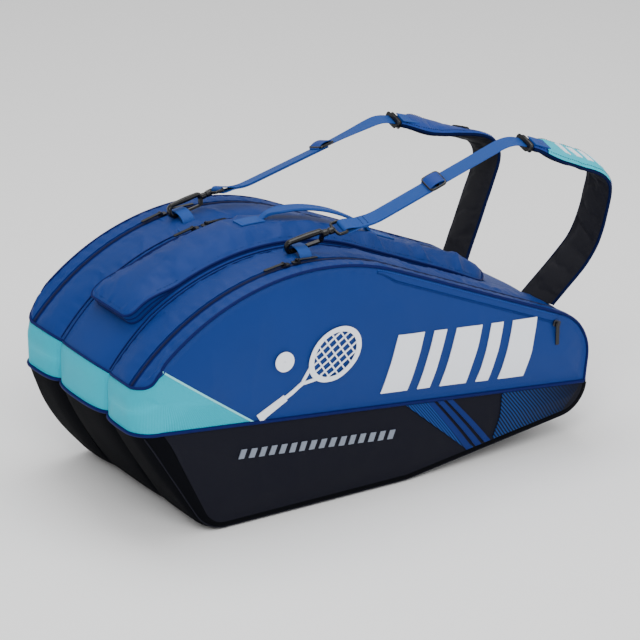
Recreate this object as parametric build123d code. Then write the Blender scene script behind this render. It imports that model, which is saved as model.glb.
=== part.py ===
from build123d import *
import os
from math import atan2, cos, degrees, radians, sin, sqrt

# Racket tournament bag: three padded compartments side by side under one arched top.
# Millimetres. +X runs from the tall stern to the low nose, -Y is the front face, +Z is up.
# The origin is on the floor, under the flat of the base.

# ---- Body of the bag ----
LENGTH = 780.0
WIDTH = 360.0
CORE_WIDTH = 144.0          # middle compartment
WALL = 4.0                  # padded fabric wall
SEAM = 0.6                  # clear space between fabric edges that part

CROWN_X = -104.0            # centre of the crown arc, at floor level
CROWN_R = 366.0
TAIL_SLOPE = 23.0           # degrees below level
NOSE_R = 90.0
CHIN_R = 55.0
BASE_START_X = -283.0       # flat part of the base
BASE_END_X = 60.0
CHIN_Z = 46.0               # where the rising base would meet the nose
BASE_JOIN = (-250.0, 20.0)  # seam between the base panel and the sloping stern panels
STERN_TOP_R = 40.0
STERN_FOOT_R = 60.0

BELT_STERN_Z = 170.0        # piped seam between the black lower part and the coloured upper part
BELT_NOSE_Z = 91.0
BAND_TOP_Z = 236.0          # top of the turquoise stern band
NOSE_TOP_Z = 150.0
WEDGE_FOOT_X = -203.0       # turquoise wedge on each side face
WEDGE_TOP = (-356.0, 267.0)
PIPING_R = 2.5

HALF_LENGTH = LENGTH / 2
HALF_WIDTH = WIDTH / 2
HALF_CORE = CORE_WIDTH / 2
SIDE_Y = HALF_WIDTH - WALL  # inner face of each side panel
DIVIDER = 3.0
BOARD = 2.5                 # stiffener thickness
BOARD_X = -90.0
BOARD_LENGTH = 290.0
BOARD_MARGIN = 10.0
CLEARANCE = 0.1             # keeps loose pieces from touching the walls around them
OUTSIDE = 120.0             # how far cutting outlines reach past the bag

# ---- Zips ----
ZIP_Y = 146.0               # front and back zips, from the middle of the bag
TAPE_WIDTH = 6.7
TAPE = 1.6
LID_ZIP_Y = 62.0
LID_TAPE_WIDTH = 5.4
SLIDER_ROWS = {             # middle of each pair of sliders: X, Y
    "front": (-121.0, -ZIP_Y),
    "back": (-155.0, ZIP_Y),
    "lid": (-148.0, LID_ZIP_Y),
}
SLIDER_HALF_SPACING = 9.0
SLIDER_LENGTH = 13.0
SLIDER_WIDTH = 10.0
SLIDER_CORNER_R = 3.0
SLIDER_PLATE = 2.0
SLIDER_LIFT = 1.3
EAR_LENGTH = 4.0
EAR_THICKNESS = 1.2
EAR_GAP = 1.0               # between an ear and the pull tab
PIVOT_OFFSET = 2.5          # pin, from the middle of the slider towards its tab
PULL_LENGTH = 33.0
PULL_WIDTH = 6.0
PULL_THICKNESS = 1.6
PULL_TILT = 5.0             # degrees, so that the tab lies along the curved top
PIN_R = 0.8
EYE_R = 1.8
PULL_TIP_R = 2.5
POCKET_SLIDER_X = 322.0
POCKET_SPAN = (30.0, 340.0)
POCKET_DEPTH = 17.0         # pocket zip below the top edge of the front panel
POCKET_INSET = 5.0
POCKET_OVERLAP = 2.0
POCKET_FLAP = 2.0           # thickness
POCKET_EYE_R = 3.0
POCKET_STUD = 3.2           # length of the stud that the pocket's pull tab hangs on

# ---- Lid of the middle compartment ----
LID_RISE = 16.0
LID_SKIN = 3.0
LID_STERN_ANGLE = -38.0     # degrees from vertical at the crown's centre
LID_NOSE_X = 286.0
LID_FRONT_Y = -60.0
LID_BACK_Y = 56.0

# ---- Carrying handle, on the lid ----
HANDLE_Y = -2.0
HANDLE_ENDS = (-80.0, 92.0)
HANDLE_FOOT = 9.0
HANDLE_RISE = 26.0
HANDLE_WIDTH = 26.0
HANDLE_END_WIDTH = 10.0
HANDLE_THICKNESS = 4.0
HANDLE_SHOULDER = 38.0      # how far in from each end the handle reaches its full height
HANDLE_BEND_R = 40.0
HANDLE_TAPER = 18.0         # length of each narrow end
TAB_LENGTH = 40.0
TAB_THICKNESS = 2.0
TAB_GAP = 3.0               # between the swing axis's end and the sewn tab
POST_OFFSET = 5.0           # stitched fold that joins the tab to the handle's end
POST_THICKNESS = 3.0

# ---- Shoulder straps ----
STRAP_LEAN = 15.0           # degrees outwards
WEBBING_WIDTH = 25.0
WEBBING = 2.4
PAD_WIDTH = 64.0
PAD = 12.0
HOOK_RISE = 8.0             # swing axis above the crown, inside the hook loop
STRAP_BASE_X = 340.0
STRAP_BASE_Y = 106.0
STRAP_HOOK_Y = 114.0
STRAP_FOOT_R = 44.0         # the pad's sewn foot ends at this radius about the swing axis
FOOT_GAP = 0.8
FOOT_TRIM = 3.0             # the foot is this much narrower and thinner than the pad, per side
ADJUSTER = (28.0, 8.0, 36.0)
ADJUSTER_SLOT = (WEBBING + 1.2, WEBBING_WIDTH + 1.4)
HOOK_BOW = ((12.0, 9.0), (64.0, 22.0), 9.0)         # centre, size, corner radius
HOOK_OPENING = ((10.5, 7.7), (51.0, 11.6), 5.0)
HOOK_MOUTH = ((25.0, 0.0), (23.6, 6.0))
HOOK_HALF_THICKNESS = 4.5
HOOK_NECK = ((50.0, 11.0), (18.0, 9.0), 6.0)        # centre, size, half thickness
HOOK_EYE = (67.0, 11.0)
HOOK_EYE_SIZE = (20.0, 5.0, 32.0)
HOOK_EYE_SLOT = (11.0, 27.0)
GATE = ((25.0, 0.0), (22.6, 3.4), 1.6, 3.0)         # centre, size, corner radius, half thickness
LOOP_WIDTH = 20.0
LOOP_SPAN = 46.0
LOOP_RISE = 15.0
LOOP_BAND = 1.6

CROWN = (CROWN_X, 0.0)
TAIL_NORMAL = (sin(radians(TAIL_SLOPE)), cos(radians(TAIL_SLOPE)))


def polar(centre, radius, angle):
    """Point on the XZ outline at an angle in degrees from vertical, positive to the nose."""
    return (
        centre[0] + radius * sin(radians(angle)),
        centre[1] + radius * cos(radians(angle)),
    )


CROWN_END = polar(CROWN, CROWN_R, TAIL_SLOPE)


def top_z(x):
    """Height of the bag's top line at x, on the crown or on the straight tail."""
    if x <= CROWN_END[0]:
        return sqrt(CROWN_R**2 - (x - CROWN_X) ** 2)
    return CROWN_END[1] - (x - CROWN_END[0]) * TAIL_NORMAL[0] / TAIL_NORMAL[1]


def top_plane(x, y, lift=0.0):
    """Plane that lies on the top of the bag, its X towards the nose and its Z outwards."""
    if x <= CROWN_END[0]:
        normal_x = (x - CROWN_X) / CROWN_R
        normal = Vector(normal_x, 0, sqrt(1 - normal_x**2))
    else:
        normal = Vector(TAIL_NORMAL[0], 0, TAIL_NORMAL[1])
    origin = Vector(x, y, top_z(x)) + normal * lift
    return Plane(origin=origin, x_dir=Vector(normal.Z, 0, -normal.X), z_dir=normal)


def belt_z(x):
    """Height of the piped belt seam at x."""
    share = (x + HALF_LENGTH) / LENGTH
    return BELT_STERN_Z + share * (BELT_NOSE_Z - BELT_STERN_Z)


def side_outline():
    """Side outline of the whole bag, drawn flat with Z as its second axis."""
    nose_x = HALF_LENGTH - NOSE_R
    nose_z = (CROWN_R - NOSE_R - (nose_x - CROWN_X) * TAIL_NORMAL[0]) / TAIL_NORMAL[1]
    nose = (nose_x, nose_z)
    nose_start = polar(nose, NOSE_R, TAIL_SLOPE)
    nose_end = (HALF_LENGTH, nose_z)
    stern_top = (-HALF_LENGTH, sqrt(CROWN_R**2 - (HALF_LENGTH + CROWN_X) ** 2))
    chin = (HALF_LENGTH, CHIN_Z)
    stern_foot = (BASE_START_X, 0.0)
    edges = [
        ThreePointArc(stern_top, polar(CROWN, CROWN_R, 0), CROWN_END),
        Line(CROWN_END, nose_start),
        ThreePointArc(nose_start, polar(nose, NOSE_R, (TAIL_SLOPE + 90) / 2), nose_end),
        Polyline(
            nose_end,
            chin,
            (BASE_END_X, 0.0),
            stern_foot,
            (-HALF_LENGTH, BELT_STERN_Z),
            stern_top,
        ),
    ]
    face = make_face(edges)
    for corner, radius in ((stern_top, STERN_TOP_R), (stern_foot, STERN_FOOT_R), (chin, CHIN_R)):
        target = Vector(corner[0], corner[1], 0)
        vertex = min(face.vertices(), key=lambda v: (Vector(*v) - target).length)
        face = fillet(vertex, radius)
    return face


OUTLINE = side_outline()


def grown(amount):
    """The side outline moved outwards, or inwards if the amount is negative."""
    return offset(OUTLINE, amount, kind=Kind.INTERSECTION)


def area(*points):
    """Closed polygon on the side outline's plane."""
    return make_face(Polyline(*points, close=True))


def slab(sketch, y_low, y_high):
    """Extrude a side outline sketch between two Y values."""
    return extrude(Plane.XZ.offset(-y_high) * sketch, y_high - y_low)


def both_sides(y_low, y_high, side):
    """A Y span on the front (-1) or the back (+1) of the bag, given for the back."""
    if side > 0:
        return y_low, y_high
    return -y_high, -y_low


FAR_X = HALF_LENGTH + OUTSIDE
FAR_Z = CROWN_R + OUTSIDE
SIDES = {"front": -1, "back": 1}
RING = OUTLINE - grown(-WALL)

CROWN_AREA = area(
    (-FAR_X, BAND_TOP_Z),
    (0, BAND_TOP_Z),
    (0, NOSE_TOP_Z),
    (FAR_X, NOSE_TOP_Z),
    (FAR_X, FAR_Z),
    (-FAR_X, FAR_Z),
)
ABOVE_BELT = area(
    (-FAR_X, belt_z(-FAR_X) + SEAM),
    (FAR_X, belt_z(FAR_X) + SEAM),
    (FAR_X, FAR_Z),
    (-FAR_X, FAR_Z),
)
BELOW_BELT = area(
    (-FAR_X, belt_z(-FAR_X)),
    (FAR_X, belt_z(FAR_X)),
    (FAR_X, -OUTSIDE),
    (-FAR_X, -OUTSIDE),
)


def wedge_area():
    """The turquoise wedge that wraps from the stern band onto a side face."""
    foot = (WEDGE_FOOT_X, belt_z(WEDGE_FOOT_X))
    rise = (WEDGE_TOP[1] - foot[1]) / (WEDGE_TOP[0] - foot[0])
    far_z = foot[1] + rise * (-FAR_X - foot[0])
    return area((-FAR_X, belt_z(-FAR_X)), foot, (-FAR_X, far_z))


def lid_area(inset=0.0):
    """The stretch of the top that the lid covers, with its ends square to the surface."""
    stern = LID_STERN_ANGLE + degrees(inset / CROWN_R)
    nose_x = LID_NOSE_X - inset * TAIL_NORMAL[1]
    nose_point = Vector(nose_x, top_z(nose_x))
    normal = Vector(*TAIL_NORMAL)
    nose_low = nose_point - normal * OUTSIDE / 2
    nose_high = nose_point + normal * OUTSIDE
    return area(
        polar(CROWN, CROWN_R - OUTSIDE / 2, stern),
        polar(CROWN, CROWN_R + OUTSIDE, stern),
        (CROWN_X, CROWN_R + OUTSIDE),
        (nose_high.X, nose_high.Y),
        (nose_low.X, nose_low.Y),
    )


parts = {}


# ---- Tub: base, stern, nose, dividers and the fixed parts of the top ----
def make_tub():
    join_x, join_z = BASE_JOIN
    stern_x = join_x - SEAM / 2
    base_area = area(
        (join_x, -OUTSIDE),
        (FAR_X, -OUTSIDE),
        (FAR_X, BELT_NOSE_Z),
        (0, BELT_NOSE_Z),
        (join_x, join_z),
    )
    stern_area = area(
        (-FAR_X, -OUTSIDE),
        (stern_x, -OUTSIDE),
        (stern_x, BELT_STERN_Z),
        (-FAR_X, BELT_STERN_Z),
    )
    band_area = area((-FAR_X, BELT_STERN_Z), (0, BELT_STERN_Z), (0, BAND_TOP_Z), (-FAR_X, BAND_TOP_Z))
    nose_area = area((0, BELT_NOSE_Z), (FAR_X, BELT_NOSE_Z), (FAR_X, NOSE_TOP_Z), (0, NOSE_TOP_Z))
    inner_side = SIDE_Y - SEAM
    parts["base_panel"] = slab(RING & base_area, -inner_side, inner_side)
    board_z = WALL + CLEARANCE + BOARD / 2
    parts["base_board"] = Pos(BOARD_X, 0, board_z) * Box(BOARD_LENGTH, 2 * (inner_side - BOARD_MARGIN), BOARD)
    spans = {
        "front": (-inner_side, -HALF_CORE),
        "middle": (-HALF_CORE, HALF_CORE),
        "back": (HALF_CORE, inner_side),
    }
    for name, (low, high) in spans.items():
        parts[f"stern_band_{name}"] = slab(RING & band_area, low, high)
    sterns = [slab(RING & stern_area, low, high) for low, high in spans.values()]
    noses = [slab(RING & nose_area, low, high) for low, high in spans.values()]
    parts["stern_lower"] = Compound(children=sterns)
    parts["nose_panels"] = Compound(children=noses)

    floor_z = WALL + BOARD + 4 * CLEARANCE
    above_board = area((-FAR_X, floor_z), (FAR_X, floor_z), (FAR_X, FAR_Z), (-FAR_X, FAR_Z))
    inside = grown(-WALL - CLEARANCE) & above_board
    for name, side in SIDES.items():
        low, high = both_sides(HALF_CORE - DIVIDER / 2, HALF_CORE + DIVIDER / 2, side)
        parts[f"divider_{name}"] = slab(inside, low, high)
        low, high = both_sides(SIDE_Y, HALF_WIDTH, side)
        parts[f"lower_side_{name}"] = slab(OUTLINE & BELOW_BELT, low, high)
        low, high = both_sides(HALF_CORE, ZIP_Y - TAPE_WIDTH - SEAM / 2, side)
        parts[f"crown_{name}_inner"] = slab(RING & CROWN_AREA, low, high)
        low, high = both_sides(ZIP_Y - TAPE_WIDTH - SEAM / 2, ZIP_Y - SEAM / 2, side)
        parts[f"zip_{name}_inner"] = slab((OUTLINE - grown(-TAPE)) & CROWN_AREA, low, high)

    crown = slab(RING & CROWN_AREA, -HALF_CORE, HALF_CORE)
    hole_back = LID_ZIP_Y + SEAM / 2 + LID_TAPE_WIDTH
    parts["crown_middle"] = crown - slab(lid_area(WALL), LID_FRONT_Y + WALL, hole_back)
    lid_tape = (OUTLINE - grown(-TAPE)) & lid_area(WALL)
    parts["zip_lid_inner"] = slab(lid_tape, LID_ZIP_Y + SEAM / 2, hole_back)

    cord = (grown(PIPING_R) - OUTLINE) & CROWN_AREA
    pipes = []
    for side in SIDES.values():
        low, high = both_sides(HALF_CORE - PIPING_R, HALF_CORE + PIPING_R, side)
        pipes.append(slab(cord, low, high))
    parts["seam_piping"] = Compound(children=pipes)


# ---- Covers: each outer wall opens about its belt seam ----
def make_covers():
    wedge = wedge_area()
    for name, side in SIDES.items():
        low, high = both_sides(SIDE_Y, HALF_WIDTH, side)
        parts[f"{name}_wedge"] = slab(OUTLINE & ABOVE_BELT & wedge, low, high)
        parts[f"{name}_panel"] = slab((OUTLINE & ABOVE_BELT) - wedge, low, high)
        low, high = both_sides(ZIP_Y + TAPE_WIDTH + SEAM / 2, SIDE_Y, side)
        parts[f"crown_{name}_outer"] = slab(RING & CROWN_AREA, low, high)
        low, high = both_sides(ZIP_Y + SEAM / 2, ZIP_Y + TAPE_WIDTH + SEAM / 2, side)
        parts[f"zip_{name}_outer"] = slab((OUTLINE - grown(-TAPE)) & CROWN_AREA, low, high)
        low, high = both_sides(HALF_WIDTH - 2 * PIPING_R, HALF_WIDTH, side)
        parts[f"piping_{name}"] = slab((grown(PIPING_R) - OUTLINE) & CROWN_AREA, low, high)

    start_x, end_x = POCKET_SPAN
    low_z = BAND_TOP_Z / 2
    tail = area((start_x, low_z), (end_x, low_z), (end_x, FAR_Z), (start_x, FAR_Z))
    flap = (grown(-POCKET_INSET) - grown(POCKET_OVERLAP - POCKET_DEPTH)) & tail
    parts["pocket_flap"] = slab(flap, -HALF_WIDTH - POCKET_FLAP, -HALF_WIDTH)


# ---- Raised lid over the middle compartment ----
def make_lid():
    whole = lid_area()
    skin = (grown(LID_RISE) - grown(LID_RISE - LID_SKIN)) & whole
    parts["lid_panel"] = slab(skin, LID_FRONT_Y, LID_BACK_Y)
    wall = (grown(LID_RISE - LID_SKIN) - grown(SEAM)) & whole
    ends = wall - lid_area(LID_SKIN)
    front_wall = slab(wall, LID_FRONT_Y, LID_FRONT_Y + LID_SKIN)
    back_wall = slab(wall, LID_BACK_Y - LID_SKIN, LID_BACK_Y)
    end_walls = slab(ends, LID_FRONT_Y, LID_BACK_Y)
    parts["lid_wall"] = front_wall + back_wall + end_walls
    tape = (OUTLINE - grown(-TAPE)) & lid_area(WALL + SEAM)
    flange = (grown(SEAM) - grown(-TAPE)) & lid_area(WALL + SEAM)
    zip_tape = slab(tape, LID_BACK_Y, LID_ZIP_Y - SEAM / 2)
    parts["zip_lid_outer"] = zip_tape + slab(flange, LID_BACK_Y - LID_SKIN, LID_BACK_Y)


def make_handle():
    """Webbing handle that arches over the lid between two sewn tabs."""
    start, end = HANDLE_ENDS
    stations = (start, start + HANDLE_SHOULDER, end - HANDLE_SHOULDER, end)
    lifts = (HANDLE_FOOT, HANDLE_RISE, HANDLE_RISE, HANDLE_FOOT)
    points = [top_plane(x, HANDLE_Y, LID_RISE + lift).origin for x, lift in zip(stations, lifts)]
    path = FilletPolyline(*points, radius=HANDLE_BEND_R)
    across = Plane(origin=path @ 0, x_dir=(0, 1, 0), z_dir=path % 0)
    narrow = sweep(across * Rectangle(HANDLE_END_WIDTH, HANDLE_THICKNESS), path=path)
    wide = sweep(across * Rectangle(HANDLE_WIDTH, HANDLE_THICKNESS), path=path)
    middle = Pos((start + end) / 2, 0, CROWN_R) * Box(end - start - 2 * HANDLE_TAPER, WIDTH, CROWN_R)
    parts["grab_handle"] = narrow + (wide & middle)
    tab = Box(TAB_LENGTH, HANDLE_WIDTH, TAB_THICKNESS)
    post = Box(POST_THICKNESS, HANDLE_END_WIDTH, HANDLE_FOOT)
    tabs = []
    for x, outward in ((start, -1), (end, 1)):
        flat = Pos(outward * (TAB_LENGTH / 2 + TAB_GAP), 0, TAB_THICKNESS / 2) * tab
        upright = Pos(outward * POST_OFFSET, 0, HANDLE_FOOT / 2) * post
        tabs.append(top_plane(x, HANDLE_Y, LID_RISE).location * (flat + upright))
    parts["handle_tabs"] = Compound(children=tabs)


# ---- Zip sliders and pull tabs ----
PLATE_TOP = SLIDER_LIFT + SLIDER_PLATE
PIVOT_LIFT = PLATE_TOP + EYE_R + CLEARANCE


def slider_plate():
    """Flat slider body just above the zip tape."""
    plate = Pos(0, 0, PLATE_TOP - SLIDER_PLATE / 2) * Box(SLIDER_LENGTH, SLIDER_WIDTH, SLIDER_PLATE)
    return fillet(plate.edges().filter_by(Axis.Z), SLIDER_CORNER_R)


def slider_body(outward):
    """Slider plate with two ears and the pin that its pull tab turns on."""
    slider = slider_plate()
    pivot_x = outward * PIVOT_OFFSET
    ear_y = PULL_WIDTH / 2 + EAR_GAP
    ear_height = EYE_R + PIN_R + CLEARANCE
    ear = Box(EAR_LENGTH, EAR_THICKNESS, ear_height)
    for y in (-ear_y, ear_y):
        slider += Pos(pivot_x, y, PLATE_TOP + ear_height / 2) * ear
    pin = Cylinder(PIN_R, 2 * ear_y + EAR_THICKNESS)
    return slider + Pos(pivot_x, 0, PIVOT_LIFT) * Rot(90, 0, 0) * pin


def pull_tab(outward):
    """Pull tab with its eye at the local origin, lying outwards."""
    length = PULL_LENGTH - PIN_R
    eye = Rot(90, 0, 0) * Cylinder(EYE_R, PULL_WIDTH)
    hole = Rot(90, 0, 0) * Cylinder(PIN_R + CLEARANCE, PULL_WIDTH)
    tab = Pos(outward * (PIN_R + length / 2), 0, 0) * Box(length, PULL_WIDTH, PULL_THICKNESS)
    tip = tab.edges().filter_by(Axis.Z).sort_by(lambda e: outward * e.center().X)[-2:]
    return Rot(0, outward * PULL_TILT, 0) * (eye + fillet(tip, PULL_TIP_R) - hole)


def make_sliders():
    for name, (middle_x, y) in SLIDER_ROWS.items():
        for end, outward in (("stern", -1), ("nose", 1)):
            surface = top_plane(middle_x + outward * SLIDER_HALF_SPACING, y)
            parts[f"slider_{name}_{end}"] = surface.location * slider_body(outward)
            pivot = surface.location * Pos(outward * PIVOT_OFFSET, 0, PIVOT_LIFT)
            parts[f"pull_{name}_{end}"] = pivot * pull_tab(outward)

    pocket_z = top_z(POCKET_SLIDER_X) - POCKET_DEPTH / TAIL_NORMAL[1]
    along = Vector(TAIL_NORMAL[1], 0, -TAIL_NORMAL[0])
    origin = Vector(POCKET_SLIDER_X, -HALF_WIDTH - POCKET_FLAP, pocket_z)
    face = Plane(origin=origin, x_dir=along, z_dir=(0, -1, 0))
    stud = Pos(0, 0, PLATE_TOP + POCKET_STUD / 2) * Cylinder(PIN_R, POCKET_STUD)
    parts["slider_pocket"] = face.location * (slider_plate() + stud)
    hang = Plane(origin=origin, x_dir=(0, 0, -1), z_dir=(0, -1, 0))
    lift = PLATE_TOP + POCKET_STUD / 2
    eye = Pos(0, 0, lift) * Cylinder(POCKET_EYE_R, PULL_THICKNESS)
    tab = Pos(PULL_LENGTH / 2, 0, lift) * Box(PULL_LENGTH, PULL_WIDTH, PULL_THICKNESS)
    hole = Pos(0, 0, lift) * Cylinder(PIN_R + CLEARANCE, POCKET_STUD)
    parts["pull_pocket"] = hang.location * (eye + tab - hole)


# ---- Shoulder straps: routes in each strap's own plane, from the hook to the sewn end ----
STRAPS = {
    "front": {
        "hook_x": -90.0,
        "hook_turn": 33.0,
        "webbing": ((66, 43), (96, 69), (262, 240), (299.7, 238)),
        "webbing_radii": (60, 45),
        "pad": ((300, 238), (455, 232), (494, 108), (464, 2)),
        "pad_radii": (50, 130),
        "adjuster_run": 1,
        "adjuster_share": 0.45,
    },
    "back": {
        "hook_x": -150.0,
        "hook_turn": 28.0,
        "webbing": ((70, 38), (338, 193), (371.7, 193)),
        "webbing_radii": (60,),
        "pad": ((372, 193), (562, 193), (514, 2)),
        "pad_radii": (28,),
        "adjuster_run": 0,
        "adjuster_share": 0.62,
    },
}


def strap_plane(name):
    """Plane of a strap loop: X from the hook to the sewn end, Y away from the bag."""
    side = SIDES[name]
    hook_x = STRAPS[name]["hook_x"]
    hook = top_plane(hook_x, side * STRAP_HOOK_Y, HOOK_RISE).origin
    base = top_plane(STRAP_BASE_X, side * STRAP_BASE_Y, 2.0).origin
    along = (base - hook).normalized()
    upright = (Vector(0, 0, 1) - along * along.Z).normalized()
    outward = along.cross(upright) * -side
    height = upright * cos(radians(STRAP_LEAN)) + outward * sin(radians(STRAP_LEAN))
    return Plane(origin=hook, x_dir=along, z_dir=along.cross(height))


def ribbon(plane, points, radii, width, thickness):
    """Flat band that follows straight runs and arcs in a strap's plane."""
    path = plane * FilletPolyline(*points, radius=list(radii))
    across = Plane(origin=path @ 0, x_dir=plane.z_dir, z_dir=path % 0)
    return sweep(across * Rectangle(width, thickness), path=path)


def snap_hook(plane, turn):
    """Snap hook with its nose under the loop, its body above it and a slot for the webbing."""
    (bow_at, bow_size, bow_r), (hole_at, hole_size, hole_r) = HOOK_BOW, HOOK_OPENING
    outer = Pos(*bow_at) * RectangleRounded(*bow_size, bow_r)
    opening = Pos(*hole_at) * RectangleRounded(*hole_size, hole_r)
    mouth = Pos(*HOOK_MOUTH[0]) * Rectangle(*HOOK_MOUTH[1])
    bow = extrude(outer - opening - mouth, HOOK_HALF_THICKNESS, both=True)
    neck = extrude(Pos(*HOOK_NECK[0]) * Rectangle(*HOOK_NECK[1]), HOOK_NECK[2], both=True)
    slot = Box(HOOK_EYE_SLOT[0], HOOK_EYE_SIZE[1], HOOK_EYE_SLOT[1])
    eye = Pos(*HOOK_EYE) * (Box(*HOOK_EYE_SIZE) - slot)
    return plane.location * Rot(0, 0, turn) * (bow + neck + eye)


def hook_gate(plane, turn):
    """Sprung gate that closes the hook's mouth; it turns about its own far end."""
    centre, size, corner_r, half_thickness = GATE
    bar = extrude(Pos(*centre) * RectangleRounded(*size, corner_r), half_thickness, both=True)
    return plane.location * Rot(0, 0, turn) * bar


def adjuster_place(strap):
    """Where the adjuster sits on its straight run of webbing, and the run's angle in degrees."""
    run = strap["adjuster_run"]
    start = Vector(*strap["webbing"][run])
    end = Vector(*strap["webbing"][run + 1])
    direction = end - start
    return start + direction * strap["adjuster_share"], degrees(atan2(direction.Y, direction.X))


def adjuster(plane, strap):
    """Three-bar adjuster that the webbing slides through."""
    point, turn = adjuster_place(strap)
    block = Box(*ADJUSTER) - Box(ADJUSTER[0], *ADJUSTER_SLOT)
    return plane.location * Pos(point.X, point.Y, 0) * Rot(0, 0, turn) * block


def arch_face(half_span, rise):
    """Face between a straight base and the arc over it."""
    left = (-half_span, 0)
    right = (half_span, 0)
    return make_face([ThreePointArc(left, (0, rise), right), Line(right, left)])


def make_straps():
    bag = slab(grown(SEAM / 2), -HALF_WIDTH, HALF_WIDTH)
    loop = arch_face(LOOP_SPAN / 2, LOOP_RISE + LOOP_BAND) - arch_face(LOOP_SPAN / 2 - LOOP_BAND, LOOP_RISE)
    arch = extrude(Plane.YZ * loop, LOOP_WIDTH / 2, both=True)
    loops = []
    feet = []
    for name, side in SIDES.items():
        strap = STRAPS[name]
        plane = strap_plane(name)
        swing = plane.location * Rot(0, 90, 0)
        foot_width = PAD_WIDTH - 2 * FOOT_TRIM
        foot_thickness = PAD - 2 * FOOT_TRIM
        foot = ribbon(plane, strap["pad"], strap["pad_radii"], foot_width, foot_thickness)
        pad = ribbon(plane, strap["pad"], strap["pad_radii"], PAD_WIDTH, PAD)
        feet.append((foot & swing * Cylinder(STRAP_FOOT_R, 2 * LENGTH)) - bag)
        parts[f"pad_{name}"] = pad - swing * Cylinder(STRAP_FOOT_R + FOOT_GAP, 2 * LENGTH)
        parts[f"webbing_{name}"] = ribbon(
            plane, strap["webbing"], strap["webbing_radii"], WEBBING_WIDTH, WEBBING
        )
        parts[f"hook_{name}"] = snap_hook(plane, strap["hook_turn"])
        parts[f"gate_{name}"] = hook_gate(plane, strap["hook_turn"])
        parts[f"adjuster_{name}"] = adjuster(plane, strap)
        loops.append(top_plane(strap["hook_x"], side * STRAP_HOOK_Y).location * arch)
    parts["hook_loops"] = Compound(children=loops)
    parts["pad_feet"] = Compound(children=feet)


make_tub()
make_covers()
make_lid()
make_handle()
make_sliders()
make_straps()

os.makedirs("parts", exist_ok=True)
for node, shape in parts.items():
    export_step(shape, f"parts/{node}.step")
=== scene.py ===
"""Racket tournament bag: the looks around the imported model. Metres, in the model's own frame."""
from math import atan2, cos, degrees, pi, radians, sin, sqrt

import bpy
import numpy as np
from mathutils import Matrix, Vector, noise


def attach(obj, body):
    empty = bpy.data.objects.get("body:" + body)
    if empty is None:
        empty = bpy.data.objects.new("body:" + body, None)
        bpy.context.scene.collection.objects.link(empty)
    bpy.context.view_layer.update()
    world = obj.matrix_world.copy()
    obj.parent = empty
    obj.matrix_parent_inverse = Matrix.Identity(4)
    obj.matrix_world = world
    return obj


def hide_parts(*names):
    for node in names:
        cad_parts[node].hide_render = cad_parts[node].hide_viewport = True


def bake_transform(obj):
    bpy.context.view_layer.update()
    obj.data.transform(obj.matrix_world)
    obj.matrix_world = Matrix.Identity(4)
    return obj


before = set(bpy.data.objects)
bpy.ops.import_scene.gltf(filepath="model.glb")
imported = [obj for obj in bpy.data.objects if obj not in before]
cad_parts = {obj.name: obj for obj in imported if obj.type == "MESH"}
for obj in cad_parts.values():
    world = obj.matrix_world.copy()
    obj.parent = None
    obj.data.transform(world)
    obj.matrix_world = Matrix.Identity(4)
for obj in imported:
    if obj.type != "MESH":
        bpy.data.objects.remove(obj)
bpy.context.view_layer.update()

# ---- Body of the bag, as in the model ----
HALF_LENGTH = 0.390
HALF_WIDTH = 0.180
HALF_CORE = 0.072
WALL = 0.004
CROWN = (-0.104, 0.0)
CROWN_R = 0.366
TAIL_SLOPE = 23.0
NOSE_R = 0.090
CHIN_R = 0.055
CHIN_Z = 0.046
STERN_TOP_R = 0.040
STERN_FOOT_R = 0.060
BASE_START_X = -0.283
BASE_END_X = 0.060
BELT_STERN_Z = 0.170
BELT_NOSE_Z = 0.091
BAND_TOP_Z = 0.236
NOSE_TOP_Z = 0.150
WEDGE_FOOT_X = -0.203
WEDGE_TOP_Z = 0.267
ZIP_Y = 0.146
ZIP_HALF = 0.0072

# ---- Softness ----
CORNER_R = 0.038            # rounded upright corners at the stern
EDGE_R = 0.005              # panel edges along the top
BASE_R = 0.012
STERN_VALLEY = 0.021        # how far the seams between the three lobes sink in
CROWN_VALLEY = 0.0080
NOSE_VALLEY = 0.008
BASE_VALLEY = 0.001
BELT_BLEND = 0.080
LOBE_POWER = 2.7
STERN_SAG_Y = (-0.10, -0.05, 0.05, 0.10)  # how far the black stern bulges, front lobe to back lobe
STERN_SAG = (0.003, 0.006, 0.008, 0.015)
CORNER_FADE_Z = 0.225       # the large stern corners end between here and the wedge's top
PANEL_PUFF = 0.010
PANEL_REACH = 0.085         # how far from its seams a face takes to puff out
LOWER_PUFF = 0.006
LOWER_REACH = 0.055
SEAM_FLAT = 0.007           # width of the flat border beside the faces' seams
PIPING_R = 0.0022
BELT_PIPING_R = 0.0028
ON_CLOTH = 0.0006           # how far a sewn cord's middle line stands off the cloth
STEP = 0.004                # spacing of the outline's points

CLOTH_FRAMES = 20
CLOTH_SETTINGS = {
    "quality": 5,
    "mass": 0.3,
    "tension_stiffness": 12,
    "compression_stiffness": 6,
    "shear_stiffness": 4,
    "bending_stiffness": 0.2,
    "use_pressure": True,
    "uniform_pressure_force": 4.0,
}
STITCH_LENGTH = 0.0026
STITCH_GAP = 0.0014
STITCH_R = 0.00042
GATHER_REACH = 0.010
BUMP_DEPTH = 0.0002
ACROSS = (0, 1, 0)
OUTWARDS = (0, -1, 0)       # away from the front face
UPRIGHT = (0, 0, 1)


def unit(vectors):
    return vectors / np.linalg.norm(vectors, axis=-1, keepdims=True)


def along(points):
    """Running length of a polyline."""
    steps = np.linalg.norm(np.diff(points, axis=0), axis=1)
    return np.concatenate([[0.0], np.cumsum(steps)])


def resample(points, count):
    """The same polyline with evenly spaced points."""
    run = along(points)
    at = np.linspace(0, run[-1], count)
    return np.column_stack([np.interp(at, run, points[:, k]) for k in range(points.shape[1])])


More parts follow.
